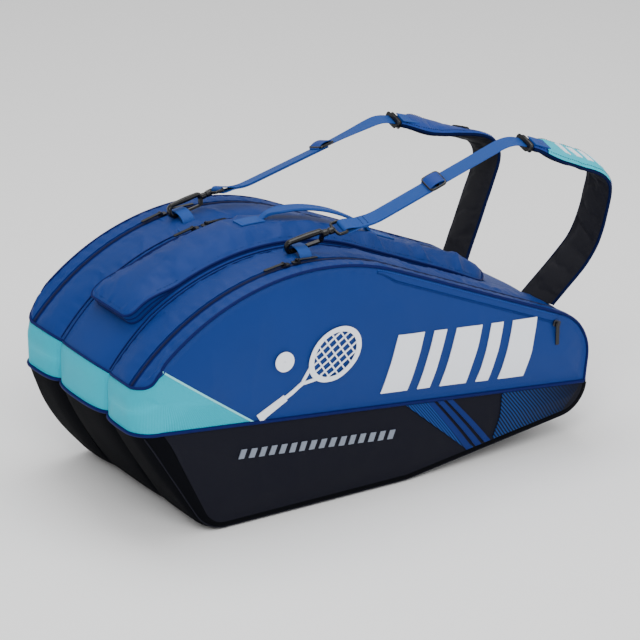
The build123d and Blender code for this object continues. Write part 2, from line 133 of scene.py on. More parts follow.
# ---- Side outline, from the stern's belt seam up, over, round and back ----
def turn(centre, radius, first, last):
    """Arc on the side outline; angles in degrees from vertical, positive to the nose."""
    count = max(3, int(radius * abs(radians(last - first)) / STEP) + 1)
    a = np.radians(np.linspace(first, last, count))
    return np.column_stack([centre[0] + radius * np.sin(a), centre[1] + radius * np.cos(a)])


def straight(start, end):
    count = max(2, int(np.hypot(end[0] - start[0], end[1] - start[1]) / STEP) + 1)
    return np.linspace(start, end, count)


def build_outline():
    stern_dx = HALF_LENGTH - STERN_TOP_R + CROWN[0]
    stern_dz = sqrt((CROWN_R - STERN_TOP_R) ** 2 - stern_dx**2)
    stern_top = (-HALF_LENGTH + STERN_TOP_R, stern_dz)
    stern_angle = -degrees(atan2(stern_dx, stern_dz))
    crown = turn(CROWN, CROWN_R, stern_angle, TAIL_SLOPE)
    slope = radians(TAIL_SLOPE)
    nose_x = HALF_LENGTH - NOSE_R
    nose_z = (CROWN_R - NOSE_R - (nose_x - CROWN[0]) * sin(slope)) / cos(slope)
    nose = turn((nose_x, nose_z), NOSE_R, TAIL_SLOPE, 90)
    rise = atan2(CHIN_Z, HALF_LENGTH - BASE_END_X)
    chin_z = CHIN_Z + CHIN_R / np.tan((pi / 2 + rise) / 2)
    chin = turn((HALF_LENGTH - CHIN_R, chin_z), CHIN_R, 90, 180 - degrees(rise))
    lean = atan2(HALF_LENGTH + BASE_START_X, BELT_STERN_Z)
    foot_x = BASE_START_X + STERN_FOOT_R * np.tan((pi / 2 - lean) / 2)
    foot = turn((foot_x, STERN_FOOT_R), STERN_FOOT_R, 180, 270 - degrees(lean))
    belt = (-HALF_LENGTH, BELT_STERN_Z)
    pieces = [
        straight(belt, (-HALF_LENGTH, stern_dz)),
        turn(stern_top, STERN_TOP_R, -90, stern_angle),
        crown,
        straight(crown[-1], nose[0]),
        nose,
        straight(nose[-1], chin[0]),
        chin,
        straight(chin[-1], (BASE_END_X, 0.0)),
        straight((BASE_END_X, 0.0), foot[0]),
        foot,
        straight(foot[-1], belt),
    ]
    points = np.concatenate([pieces[0]] + [piece[1:] for piece in pieces[1:]])
    run = along(points)
    outward = unit(np.gradient(points, run, axis=0))[:, ::-1] * (-1, 1)
    # The slanting stern turns upright just below the belt, so that both cloths meet there.
    upright = np.clip(1 - (run[-1] - run) / BELT_BLEND, 0, 1)[:, None]
    outward = outward * (1 - upright) + np.array([-1.0, 0.0]) * upright
    return run, points, unit(outward)


RUN, LINE, OUTWARD = build_outline()
LOOP = RUN[-1]
TOP_INDEX = int(np.argmax(LINE[:, 1]))
NOSE_INDEX = int(np.argmax(LINE[:, 0]))


def s_stern(z):
    """Distance along the outline to a height on the stern side of the crown."""
    return float(np.interp(z, LINE[: TOP_INDEX + 1, 1], RUN[: TOP_INDEX + 1]))


def s_nose(z):
    """Distance along the outline to a height on the nose side of the crown."""
    rows = slice(TOP_INDEX, NOSE_INDEX + 40)
    return float(np.interp(-z, -LINE[rows, 1], RUN[rows]))


def s_top(x):
    """Distance along the outline to a place on the top line."""
    rows = slice(0, NOSE_INDEX)
    return np.interp(x, LINE[rows, 0], RUN[rows])


def s_base(x):
    """Distance along the outline to a place on the underside."""
    rows = slice(NOSE_INDEX + 30, len(RUN))
    return float(np.interp(-x, -LINE[rows, 0], RUN[rows]))


S_BAND = s_stern(BAND_TOP_Z)
S_WEDGE = s_stern(WEDGE_TOP_Z)
S_NOSE = s_nose(NOSE_TOP_Z)
S_BELT = s_nose(BELT_NOSE_Z)
S_FOOT = s_base(-0.27)
S_CHIN = s_base(0.34)


def on_line(s):
    """Place on the plain outline and the outward direction there, each as X and Z."""
    return [[np.interp(s, RUN, block[:, k]) for k in (0, 1)] for block in (LINE, OUTWARD)]


def smooth(t):
    t = np.clip(t, 0.0, 1.0)
    return t * t * (3 - 2 * t)


def valley(s):
    """Depth of the seams between the lobes, along the outline."""
    stops = (
        (0, STERN_VALLEY),
        (S_BAND, STERN_VALLEY),
        (S_WEDGE + 0.06, CROWN_VALLEY),
        (s_top(0.25), CROWN_VALLEY),
        (S_NOSE, NOSE_VALLEY),
        (S_BELT, NOSE_VALLEY),
        (S_CHIN, BASE_VALLEY),
        (S_FOOT, BASE_VALLEY),
        (LOOP, STERN_VALLEY),
    )
    return np.interp(s, *zip(*stops))


def corner(s):
    """Radius of the corners between the outline's surface and the two faces."""
    z = on_line(s)[0][1]
    upper = EDGE_R + (CORNER_R - EDGE_R) * (1 - smooth((z - CORNER_FADE_Z) / (WEDGE_TOP_Z - CORNER_FADE_Z)))
    lower = np.interp(s, (S_NOSE, S_BELT, S_FOOT, LOOP), (EDGE_R, BASE_R, BASE_R, CORNER_R))
    return np.where(s < s_top(0), upper, lower)


def inset(s, y):
    """Depth of the soft surface below the plain outline."""
    a = np.abs(y)
    middle = (HALF_CORE + HALF_WIDTH) / 2
    across = np.where(a < HALF_CORE, a / HALF_CORE, np.clip((middle - a) / (middle - HALF_CORE), 0, 1))
    lobes = valley(s) * (1 - (1 - across**LOBE_POWER) ** (1 / LOBE_POWER))
    r = corner(s)
    over = np.clip(a - (HALF_WIDTH - r), 0, r)
    return lobes + r - np.sqrt(np.maximum(r * r - over * over, 0))


def skin(s, y, lift=0.0):
    """Points on the soft outer surface of the top, ends and base."""
    s, y = np.broadcast_arrays(np.asarray(s, float), np.asarray(y, float))
    (x, z), (nx, nz) = on_line(s)
    depth = inset(s, y) - lift
    return np.stack([x - nx * depth, y, z - nz * depth], -1)


def corner_y(s, share):
    """Y on a face's rounded corner: share 0 is its start, 1 the face itself. Given for the front."""
    r = corner(s)
    return -(HALF_WIDTH - r + r * np.sin(share * pi / 2))


def belt_z(x):
    start = -HALF_LENGTH + CORNER_R
    return BELT_STERN_Z + (x - start) / (HALF_LENGTH - start) * (BELT_NOSE_Z - BELT_STERN_Z)


# ---- Faces: outlines of the coloured part and of the black part, and their soft puff ----
EDGE_UPPER = skin(np.linspace(S_WEDGE, S_BELT, 240), -HALF_WIDTH)[:, (0, 2)]
BELT_START = (-HALF_LENGTH + CORNER_R, BELT_STERN_Z)
BELT_END = (HALF_LENGTH - 0.012, BELT_NOSE_Z)
CORNER_EDGE = skin(np.linspace(0, S_WEDGE, 40), -HALF_WIDTH)[:, (0, 2)]
EDGE_LOWER = skin(np.linspace(LOOP, S_BELT, 320), -HALF_WIDTH)[:, (0, 2)]


def clearance(points, line):
    """Shortest distance from each XZ point to a polyline."""
    a, b = line[:-1], line[1:]
    d = b - a
    size = np.maximum((d * d).sum(1), 1e-12)
    best = np.full(len(points), 9.0)
    for start, step, length in zip(a, d, size):
        t = np.clip(((points - start) @ step) / length, 0, 1)
        best = np.minimum(best, np.linalg.norm(points - (start + t[:, None] * step), axis=1))
    return best


UPPER_RIM = np.concatenate([CORNER_EDGE[::8], EDGE_UPPER[::8], EDGE_UPPER[-1:], [BELT_START]])
LOWER_RIM = np.concatenate([EDGE_LOWER[::8], EDGE_LOWER[-1:], [BELT_START]])


def crumple(points, size, amount, seed):
    """Soft uneven folds about size metres across."""
    shift = Vector((seed * 7.31, seed * 3.17, seed * 1.73))
    values = [noise.noise(Vector(p) / size + shift) for p in points.reshape(-1, 3).tolist()]
    return amount * np.array(values).reshape(points.shape[:-1])


def creases(points, size, amount, seed):
    """Narrow soft ridges, as in pulled cloth."""
    folded = np.abs(crumple(points, size, 1.0, seed))
    return amount * np.clip(1 - 3.2 * folded, 0, 1) ** 2


def face(x, z, lift=0.0):
    """Points on the front face: it puffs out between its seams, with soft folds in the blue part."""
    x, z = np.broadcast_arrays(np.asarray(x, float), np.asarray(z, float))
    flat = np.column_stack([x.ravel(), z.ravel()])
    above = flat[:, 1] > belt_z(flat[:, 0])
    rise = np.empty(len(flat))
    for chosen, rim, puff, reach in (
        (above, UPPER_RIM, PANEL_PUFF, PANEL_REACH),
        (~above, LOWER_RIM, LOWER_PUFF, LOWER_REACH),
    ):
        if chosen.any():
            gap = clearance(flat[chosen], rim)
            near = np.clip((gap - SEAM_FLAT) / reach, 0, 1)
            places = np.column_stack([flat[chosen, 0], np.zeros(chosen.sum()), flat[chosen, 1]])
            folds = crumple(places, 0.16, 0.0026, 11) + crumple(places * (1, 1, 2.2), 0.06, 0.0007, 12)
            folds = folds + creases(places * (1, 1, 0.6), 0.110, 0.0012, 13)
            rise[chosen] = puff * (1 - (1 - near) ** 2.4) + folds * smooth((gap - SEAM_FLAT) / 0.035)
    y = -(HALF_WIDTH + rise.reshape(x.shape) + lift)
    return np.stack([x, y, z], -1)


# ---- Meshes ----
SHARP_ANGLE = 40.0


def grid_normals(grid, closed=False):
    down = np.gradient(grid, axis=0)
    if closed:
        wide = np.concatenate([grid[:, -1:], grid, grid[:, :1]], axis=1)
        across = (wide[:, 2:] - wide[:, :-2]) / 2
    else:
        across = np.gradient(grid, axis=1)
    normal = np.cross(down, across)
    size = np.linalg.norm(normal, axis=-1, keepdims=True)
    return normal / np.maximum(size, 1e-12)


def quads(rows, columns, first=0, closed=False):
    span = columns if closed else columns - 1
    i, j = np.meshgrid(np.arange(rows - 1), np.arange(span), indexing="ij")
    k = (j + 1) % columns
    corners = (i * columns + j, (i + 1) * columns + j, (i + 1) * columns + k, i * columns + k)
    return np.stack(corners, -1).reshape(-1, 4) + first


def make_mesh(name, points, faces, kinds, slots=None, uv=None):
    mesh = bpy.data.meshes.new(name)
    mesh.from_pydata(np.asarray(points).tolist(), [], [list(map(int, f)) for f in faces])
    for kind in kinds:
        mesh.materials.append(MAT[kind])
    if slots is not None:
        mesh.polygons.foreach_set("material_index", np.asarray(slots, np.int32))
    if uv is not None:
        layer = mesh.uv_layers.new(name="UVMap")
        loops = np.zeros(len(mesh.loops), np.int32)
        mesh.loops.foreach_get("vertex_index", loops)
        layer.data.foreach_set("uv", np.asarray(uv, np.float32)[loops].ravel())
    mesh.validate()
    mesh.shade_smooth()
    mesh.set_sharp_from_angle(angle=radians(SHARP_ANGLE))
    return add_object(name, mesh)


def length_uv(grid):
    """UVs in metres, from running lengths through the middle of a grid."""
    rows, columns = grid.shape[:2]
    v = along(grid[:, columns // 2])
    u = along(grid[rows // 2])
    return np.stack(np.broadcast_arrays(u[None, :], v[:, None]), -1)


def shell(name, grid, thickness, outside, lining=None, uv=None, closed=False):
    """Closed fabric shell whose outer face is the grid."""
    rows, columns = grid.shape[:2]
    inner = grid - grid_normals(grid, closed) * thickness
    count = rows * columns
    outer_faces = quads(rows, columns, 0, closed)
    inner_faces = quads(rows, columns, count, closed)[:, ::-1]
    index = np.arange(count).reshape(rows, columns)
    rims = []
    if closed:
        for ring in (index[0], index[-1][::-1]):
            ring = np.append(ring, ring[0])
            rims += [(a + count, a, b, b + count) for a, b in zip(ring[1:], ring[:-1])]
    else:
        ring = np.concatenate([index[0], index[1:, -1], index[-1, -2::-1], index[-2::-1, 0]])
        rims += [(a, b, b + count, a + count) for a, b in zip(ring[:-1], ring[1:])]
    faces = np.concatenate([outer_faces, inner_faces, np.array(rims)])
    slots = np.zeros(len(faces), np.int32)
    if lining is not None:
        slots[len(outer_faces) : len(outer_faces) + len(inner_faces)] = 1
    layout = (length_uv(grid) if uv is None else uv).reshape(-1, 2)
    points = np.concatenate([grid.reshape(-1, 3), inner.reshape(-1, 3)])
    kinds = [outside] + ([lining] if lining is not None else [])
    return make_mesh(name, points, faces, kinds, slots, np.concatenate([layout, layout]))


def lined(name, grid, kind, side=-1, uv=None, thickness=WALL):
    """Lined cloth wall; side 1 mirrors it to the back of the bag."""
    layout = uv if uv is None or side < 0 else uv[:, ::-1]
    return shell(name, for_side(grid, side), thickness, kind, "lining", uv=layout)


def thickened(name, points, faces, thickness, outside, lining, uv):
    """Closed fabric shell over any surface of four-sided faces."""
    corners = points[faces]
    across = np.cross(corners[:, 2] - corners[:, 0], corners[:, 3] - corners[:, 1])
    normals = np.zeros_like(points)
    for k in range(4):
        np.add.at(normals, faces[:, k], across)
    normals = unit(normals)
    count = len(points)
    edges = {(a, b) for face in faces.tolist() for a, b in zip(face, face[1:] + face[:1])}
    rims = [(b, a, a + count, b + count) for a, b in sorted(edges) if (b, a) not in edges]
    every = np.concatenate([faces, faces[:, ::-1] + count, np.array(rims)])
    slots = np.zeros(len(every), np.int32)
    slots[len(faces) : 2 * len(faces)] = 1
    both = np.concatenate([points, points - normals * thickness])
    return make_mesh(name, both, every, [outside, lining], slots, np.concatenate([uv, uv]))


def settled(points, faces, pinned, spare, reach):
    """Positions after a short cloth simulation with air pressure; pinned points stay put."""
    mesh = make_mesh("settling", points, faces, [])
    scene = bpy.context.scene
    group = mesh.vertex_groups.new(name="seams")
    group.add(np.flatnonzero(pinned).tolist(), 1.0, "REPLACE")
    cloth_modifier = mesh.modifiers.new("settling", "CLOTH")
    settings = cloth_modifier.settings
    for setting, value in CLOTH_SETTINGS.items():
        setattr(settings, setting, value)
    settings.vertex_group_mass = group.name
    settings.shrink_min = -spare
    settings.effector_weights.gravity = 0.0
    cloth_modifier.point_cache.frame_start = 1
    cloth_modifier.point_cache.frame_end = CLOTH_FRAMES
    for moment in range(1, CLOTH_FRAMES + 1):
        scene.frame_set(moment)
    final = mesh.evaluated_get(bpy.context.evaluated_depsgraph_get()).to_mesh()
    moved = np.empty(len(points) * 3, np.float32)
    final.vertices.foreach_get("co", moved)
    shift = moved.reshape(-1, 3).astype(float) - points
    bpy.data.objects.remove(mesh, do_unlink=True)
    scene.frame_set(1)
    size = np.linalg.norm(shift, axis=1)[:, None]
    return points + shift * reach * np.tanh(size / reach) / np.maximum(size, 1e-9)


def settled_grid(grid, spare, reach):
    """An open grid of cloth held along its four edges."""
    held = np.zeros(grid.shape[:2], bool)
    held[:2] = held[-2:] = held[:, :2] = held[:, -2:] = True
    moved = settled(grid.reshape(-1, 3), quads(*grid.shape[:2]), held.ravel(), spare, reach)
    return moved.reshape(grid.shape)


def spots(grid, u, v):
    """Places on a grid at fractional rows u and columns v."""
    u, v = np.broadcast_arrays(np.asarray(u, float), np.asarray(v, float))
    i = np.clip(u.astype(int), 0, grid.shape[0] - 2)
    j = np.clip(v.astype(int), 0, grid.shape[1] - 2)
    a, b = (u - i)[..., None], (v - j)[..., None]
    low = grid[i, j] * (1 - b) + grid[i, j + 1] * b
    high = grid[i + 1, j] * (1 - b) + grid[i + 1, j + 1] * b
    return low * (1 - a) + high * a


def mirrored(grid):
    """The same grid on the back of the bag, still facing outwards."""
    return (grid * (1, -1, 1))[:, ::-1]


def frames(path, up):
    """Side and up vectors along a path, from a guide for up."""
    tangent = unit(np.gradient(path, axis=0))
    up = np.broadcast_to(np.asarray(up, float), path.shape)
    side = np.cross(tangent, up)
    side /= np.maximum(np.linalg.norm(side, axis=1), 1e-9)[:, None]
    return side, np.cross(side, tangent)


def loft(name, path, up, section, kind, scale=None):
    """Closed section of (side, up) points carried along a path, capped at both ends."""
    side, lift = frames(path, up)
    section = np.asarray(section, float)
    size = np.ones((len(path), 2)) if scale is None else np.asarray(scale, float)
    grid = (
        path[:, None]
        + side[:, None] * (section[None, :, :1] * size[:, None, :1])
        + lift[:, None] * (section[None, :, 1:] * size[:, None, 1:])
    )
    rows, columns = grid.shape[:2]
    last = rows * columns - 1
    caps = [list(range(columns)), list(range(last, last - columns, -1))]
    across = along(np.concatenate([section, section[:1]]))[:-1]
    uv = np.stack(np.broadcast_arrays(across[None, :], along(path)[:, None]), -1).reshape(-1, 2)
    return make_mesh(name, grid.reshape(-1, 3), quads(rows, columns, 0, True).tolist() + caps, [kind], uv=uv)


def round_section(radius, sides=10):
    a = np.linspace(0, 2 * pi, sides, endpoint=False)
    return np.column_stack([radius * np.cos(a), radius * np.sin(a)])


def flat_section(width, thickness, sides=6):
    """Flat band with rounded edges."""
    r = thickness / 2
    half = width / 2 - r
    quarter = pi / 2
    edges = []
    for reach, start in ((half, -quarter), (-half, quarter)):
        a = np.linspace(start, start + pi, sides)
        edges.append(np.column_stack([reach + r * np.cos(a), r * np.sin(a)]))
    return np.concatenate(edges)


def squared_ring(centre, first, second, count, powers, overlap=0):
    """Closed path round a centre with half axes first and second, squared off by powers below 1."""
    a = np.linspace(0, 2 * pi, count, endpoint=False)
    c, s = (np.sign(f(a)) * np.abs(f(a)) ** power for f, power in zip((np.cos, np.sin), powers))
    ring = centre + c[:, None] * first + s[:, None] * second
    return np.concatenate([ring, ring[:overlap]])


def oval_section(half_side, half_up, power=0.62, sides=16):
    """Closed section between an ellipse and a rectangle."""
    axes = np.diag([half_side, half_up])
    return squared_ring(0, axes[0], axes[1], sides, (power, power))


def band_section(width, thickness, edge=0.0006):
    """Webbing: flat with slightly thicker woven edges."""
    half, t = width / 2, thickness / 2
    across = (edge - half, 3 * edge - half, 0, half - 3 * edge, half - edge)
    upper = np.column_stack([across, t * np.array([1, 0.85, 0.9, 0.85, 1])])
    return np.concatenate([[(-half, 0)], upper, [(half, 0)], -upper])


def band(name, path, up, width, thickness, kind):
    return loft(name, path, up, band_section(width, thickness), kind)


def stitches(name, path, up, kind, body, slot):
    """A row of sewn stitches lying on a surface, riding on a body."""
    run = along(path)
    side, lift = frames(path, up)
    points, faces = [], []
    for k in range(int(run[-1] / (STITCH_LENGTH + STITCH_GAP))):
        start = k * (STITCH_LENGTH + STITCH_GAP)
        first = len(points)
        for share, grow in ((0, 0.15), (0.15, 1.0), (0.85, 1.0), (1, 0.15)):
            distance = start + STITCH_LENGTH * share
            centre, s, u = (
                np.array([np.interp(distance, run, block[:, axis]) for axis in range(3)])
                for block in (path, side, lift)
            )
            for a in range(6):
                turned = a * pi / 3
                spoke = s * cos(turned) * 1.25 + u * sin(turned) * 0.8
                points.append(centre + spoke * STITCH_R * grow)
        faces += quads(4, 6, first, True).tolist()
        faces.append(list(range(first, first + 6)))
        faces.append(list(range(first + 23, first + 17, -1)))
    return place(make_mesh(name, points, faces, [kind]), body, slot)


def pushed(grid, amount):
    return grid + grid_normals(grid) * amount[..., None]


def seam_waves(run, distance, depth, pitch, seed):
    """Small gathers that fade away from a seam."""
    wobble = np.array([noise.noise(Vector((s / (pitch * 1.7), seed, 0.0))) for s in np.ravel(run)])
    wave = np.sin(2 * pi * np.ravel(run) / pitch + 3 * wobble) * (0.6 + 0.8 * np.abs(wobble))
    return depth * wave.reshape(np.shape(run)) * np.exp(-distance / GATHER_REACH)


# ---- Materials ----
def colour(red, green, blue):
    """Screen colour in 0 to 255 as linear light."""
    values = [c / 255 for c in (red, green, blue)]
    return tuple(c / 12.92 if c <= 0.04045 else ((c + 0.055) / 1.055) ** 2.4 for c in values) + (1.0,)


MIX_FIRST, MIX_SECOND, MIX_RESULT = 6, 7, 2     # a mix node's sockets for colours
RIB_PITCH = 0.0022
RIB_TONE = (0.86, 1.08)     # darkest and lightest line of the ribbed cloth
HATCH_SLANT = 0.75
GRAIN = 0.06


def start_material(name, base, roughness, specular=0.4, sheen=0.0, metallic=0.0, coat=0.0):
    material = bpy.data.materials.new(name)
    material.use_nodes = True
    settings = {
        "Base Color": base,
        "Roughness": roughness,
        "Specular IOR Level": specular,
        "Sheen Weight": sheen,
        "Sheen Roughness": 0.45,
        "Sheen Tint": base,
        "Metallic": metallic,
        "Coat Weight": coat,
    }
    for socket, value in settings.items():
        shader_input(material.node_tree, socket).default_value = value
    return material


def shader_input(tree, socket):
    return tree.nodes["Principled BSDF"].inputs[socket]


def add(tree, kind, *operands, **values):
    """A shader node; operands fill its inputs in order and values by name, each a number or a socket."""
    node = tree.nodes.new(f"ShaderNode{kind}")
    fills = list(enumerate(operands))
    for key, value in values.items():
        if hasattr(node, key):
            setattr(node, key, value)
        else:
            fills.append((key.replace("_", " "), value))
    for key, value in fills:
        if isinstance(value, bpy.types.NodeSocket):
            tree.links.new(value, node.inputs[key])
        else:
            node.inputs[key].default_value = value
    return node


def feed(tree, node, socket, output=0):
    tree.links.new(node.outputs[output], shader_input(tree, socket))


def across_cloth(tree):
    """X and Y of the cloth's own layout, in metres."""
    split = add(tree, "SeparateXYZ", add(tree, "TexCoord").outputs["UV"])
    return split.outputs["X"], split.outputs["Y"]


def noise_on(tree, **values):
    """Noise in the object's own space."""
    return add(tree, "TexNoise", Vector=add(tree, "TexCoord").outputs["Object"], **values).outputs["Fac"]


def sine(tree, source, pitch):
    """Wave that repeats every pitch metres."""
    turns = add(tree, "Math", source, 2 * pi / pitch, operation="MULTIPLY")
    return add(tree, "Math", turns.outputs[0], operation="SINE").outputs[0]


def vary_colour(tree, base, amount=0.10, size=9.0):
    """Slow uneven tone, as dyed cloth has."""
    tone = noise_on(tree, Scale=size, Detail=5.0, Roughness=0.6)
    level = add(tree, "MapRange", tone, To_Min=1 - amount, To_Max=1 + amount)
    feed(tree, add(tree, "HueSaturation", Color=base, Value=level.outputs[0]), "Base Color")
    return tone


def add_bump(tree, height, strength):
    feed(tree, add(tree, "Bump", Strength=strength, Distance=BUMP_DEPTH, Height=height), "Normal")


def cloth(
    name, base, thread=0.0009, roughness=0.5, sheen=0.05, strength=0.25, amount=0.10, ribs=None, shine=0.25
):
    """Uneven dye and gloss, and crossed threads, or ribs along one direction, as bump."""
    material = start_material(name, base, roughness, shine, sheen)
    tree = material.node_tree
    tone = vary_colour(tree, base, amount)
    waves = [sine(tree, place, pitch) for place, pitch in zip(across_cloth(tree), (thread, ribs or thread))]
    threads = add(tree, "Math", *waves, operation="ADD" if ribs else "MULTIPLY")
    add_bump(tree, threads.outputs[0], strength)
    feed(tree, add(tree, "MapRange", tone, To_Min=roughness - 0.07, To_Max=roughness + 0.09), "Roughness")
    return material


def ribbed_cloth(name, base, pitch):
    """Fine upright ribs that show as lighter and darker lines."""
    material = cloth(name, base, pitch, 0.42, sheen=0.0, strength=0.5, amount=0.05, ribs=0.0008, shine=0.1)
    tree = material.node_tree
    dyed = shader_input(tree, "Base Color").links[0].from_socket
    wave = sine(tree, across_cloth(tree)[0], pitch)
    level = add(tree, "MapRange", wave, From_Min=-1.0, To_Min=RIB_TONE[0], To_Max=RIB_TONE[1])
    feed(tree, add(tree, "HueSaturation", Color=dyed, Value=level.outputs[0]), "Base Color")
    return material


def moulded(name, base, roughness=0.28, metallic=0.0, coat=0.2, specular=0.5):
    """Moulded plastic or plated metal with a faint grain and worn, uneven gloss."""
    material = start_material(name, base, roughness, specular, 0.0, metallic, coat)
    tree = material.node_tree
    vary_colour(tree, base, 0.12, 60.0)
    fine = noise_on(tree, Scale=900.0, Detail=3.0)
    add_bump(tree, fine, GRAIN)
    feed(tree, add(tree, "MapRange", fine, To_Min=roughness * 0.75, To_Max=roughness * 1.35), "Roughness")
    return material


def hatched(name, ground, line, pitch, fade=None):
    """Fine slanting lines printed on cloth, fading out along U if asked."""
    material = start_material(name, ground, 0.6, 0.08)
    tree = material.node_tree
    across, up = across_cloth(tree)
    slant = add(tree, "Math", up, HATCH_SLANT, across, operation="MULTIPLY_ADD")
    wave = sine(tree, slant.outputs[0], pitch)
    share = add(tree, "MapRange", wave, From_Min=-0.5, From_Max=0.5).outputs[0]
    if fade:
        away = add(tree, "MapRange", across, From_Min=fade[0], From_Max=fade[1], To_Min=1.0, To_Max=0.05)
        share = add(tree, "Math", away.outputs[0], share, operation="MULTIPLY").outputs[0]
    mix = add(tree, "Mix", share, data_type="RGBA")
    mix.inputs[MIX_FIRST].default_value = ground
    mix.inputs[MIX_SECOND].default_value = line
    feed(tree, mix, "Base Color", MIX_RESULT)
    add_bump(tree, wave, 0.2)
    return material


MAT = {
    "blue": cloth("blue_polyester", colour(14, 48, 114), roughness=0.46, shine=0.16),
    "turquoise": ribbed_cloth("turquoise_ribbed", colour(3, 176, 199), RIB_PITCH),
    "black": cloth("black_polyester", colour(12, 13, 25), roughness=0.62, sheen=0.0, shine=0.12),
    # Darker, less glossy copy of the black cloth for the underside and stern: its darker colour is painted
    # shade.
    "black_shaded": cloth("black_polyester_shaded", colour(9, 10, 14), roughness=0.8, sheen=0.0, shine=0.03),
    "webbing": cloth("blue_webbing", colour(19, 66, 139), thread=0.0017, roughness=0.5, strength=0.6),
    "piping": cloth("navy_piping", colour(6, 18, 78), roughness=0.55, sheen=0.0, shine=0.10),
    "seam": cloth("blue_piping", colour(10, 42, 108), roughness=0.5, sheen=0.0, shine=0.12),
    # Pale strip along the turquoise band's slanting edge: a painted highlight on that edge.
    "edge_highlight": cloth("pale_edge_highlight", colour(130, 214, 222), roughness=0.4, sheen=0.05),
    "tape": cloth(
        "navy_zip_tape", colour(7, 24, 86), thread=0.0012, roughness=0.6, sheen=0.0, strength=0.5, shine=0.08
    ),
    "coil": moulded("navy_coil", colour(6, 16, 62), roughness=0.45, coat=0.0, specular=0.2),
    "lining": cloth("grey_lining", colour(84, 87, 94), roughness=0.7, sheen=0.1),
    "pad_top": cloth("pad_turquoise", colour(30, 182, 202), roughness=0.5),
    "pad_blue": cloth("pad_blue", colour(12, 52, 128), roughness=0.45),
    "binding": cloth("pad_binding", colour(6, 15, 54), roughness=0.6, sheen=0.0, shine=0.05),
    "pad_under": cloth("pad_black_mesh", colour(16, 16, 24), thread=0.0026, roughness=0.75, strength=0.9),
    "thread": cloth("blue_thread", colour(34, 84, 168), thread=0.0006, roughness=0.5),
    "dark_thread": cloth(
        "dark_thread", colour(6, 12, 48), thread=0.0006, roughness=0.6, sheen=0.0, shine=0.08
    ),
    "white": cloth("white_print", colour(236, 240, 248), roughness=0.42, strength=0.12, amount=0.02),
    "grey": cloth("grey_print", colour(120, 128, 142), roughness=0.42, strength=0.12, amount=0.03),
    "stripe": cloth("stripe_blue", colour(17, 36, 98), roughness=0.5, shine=0.1),
    "hatch": hatched("hatch_blue", colour(14, 26, 62), colour(24, 64, 131), 0.0042),
    "hatch_fading": hatched("hatch_fading", colour(12, 16, 33), colour(22, 57, 113), 0.0056, (0.25, 0.36)),
    "plastic": moulded("black_acetal", colour(6, 6, 8), roughness=0.26, coat=0.1, specular=0.35),
    "metal": moulded("dark_plating", colour(46, 46, 52), roughness=0.3, metallic=0.75),
    "board": moulded("board_black", colour(34, 34, 36), roughness=0.6, coat=0.0),
}


SIDES = {"front": -1, "back": 1}
# Where the stern's cloth would start and end a bend when a cover opens, given for the back; nothing bends it.
COVER_BEND = ((-0.385, 0.135, 0.2), (-0.345, 0.180, 0.2))


def finish(piece, slot, *nodes):
    """The piece stands for the model's plain nodes, which are hidden."""
    if nodes:
        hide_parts(*nodes)
    return piece


def place(piece, body, slot, *nodes):
    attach(piece, body)
    return finish(piece, slot, *nodes)


def join_bodies(piece, second, start, end, slot, *nodes):
    """The piece's transform is baked into its mesh, and the model's nodes it stands for are hidden."""
    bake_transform(piece)
    return finish(piece, slot, *nodes)


def bend_with_cover(piece, name, slot, *nodes):
    start, end = ((x, SIDES[name] * y, z) for x, y, z in COVER_BEND)
    return join_bodies(piece, f"{name}_cover", start, end, slot, *nodes)


def for_side(grid, side):
    return grid if side < 0 else mirrored(grid)


# ---- Stern band: one cloth round the corner, down to the slanting edge on the face ----
SHARES = np.linspace(0, 1, 14)
BAND_ROWS = 26


def band_top(share):
    """Distance along the outline of the band's top edge on the rounded corner."""
    return s_stern(BAND_TOP_Z + (WEDGE_TOP_Z - BAND_TOP_Z) * share**1.6)


BAND_TOPS = np.array([band_top(share) for share in SHARES])
BAND_TOP_Y = corner_y(BAND_TOPS, SHARES)


def edge_start(y):
    """Where the blue top begins along the outline, for each distance from the middle."""
    return np.interp(np.abs(y), -BAND_TOP_Y, BAND_TOPS)


def wrap_grid():
    """The band's cloth on the front side, and its slanting edge on the face."""
    v = np.linspace(0, 1, BAND_ROWS)[:, None]
    stern_y = np.linspace(-HALF_CORE - 0.001, -HALF_WIDTH + CORNER_R, 20)[None, :-1]
    stern = skin(v * S_BAND, stern_y)
    s = v * BAND_TOPS[None, :]
    rounded = skin(s, corner_y(s, SHARES[None, :]))
    edge = rounded[:, -1]
    foot = np.array([WEDGE_FOOT_X, belt_z(WEDGE_FOOT_X)])
    top = edge[-1][[0, 2]]
    diagonal = foot + (top - foot) * v
    w = np.linspace(0, 1, 36)[None, 1:, None]
    flat = edge[:, None, (0, 2)] * (1 - w) + diagonal[:, None] * w
    front = face(flat[..., 0], flat[..., 1])
    return np.concatenate([stern, rounded, front], axis=1)[:, ::-1], diagonal


WRAP, DIAGONAL = wrap_grid()


def make_wraps():
    hold = np.ones(WRAP.shape[:2])
    hold[0] = hold[-1] = 0
    grid = pushed(WRAP, crumple(WRAP, 0.09, 0.0016, 3) * hold)
    rim = resample(face(DIAGONAL[:, 0], DIAGONAL[:, 1], 0.0004), 60)
    for name, side in SIDES.items():
        piece = lined(f"band_{name}", grid, "turquoise", side, length_uv(WRAP))
        bend_with_cover(piece, name, "fabric_turquoise", f"stern_band_{name}", f"{name}_wedge")
        path = rim * (1, -side, 1)
        # A pale strip along the band's slanting edge, standing for its highlight: painted highlight.
        edge_highlight = loft(f"band_edge_highlight_{name}", path, (0, side, 0), flat_section(0.0032, 0.0012), "edge_highlight")
        place(edge_highlight, f"{name}_cover", "fabric_turquoise")


def make_stern():
    v = np.linspace(0, 1, BAND_ROWS)[:, None]
    y = np.linspace(-HALF_CORE + 0.001, HALF_CORE - 0.001, 40)
    piece = lined("band_middle", skin(v * S_BAND, y), "turquoise")
    place(piece, "root", "fabric_turquoise", "stern_band_middle")


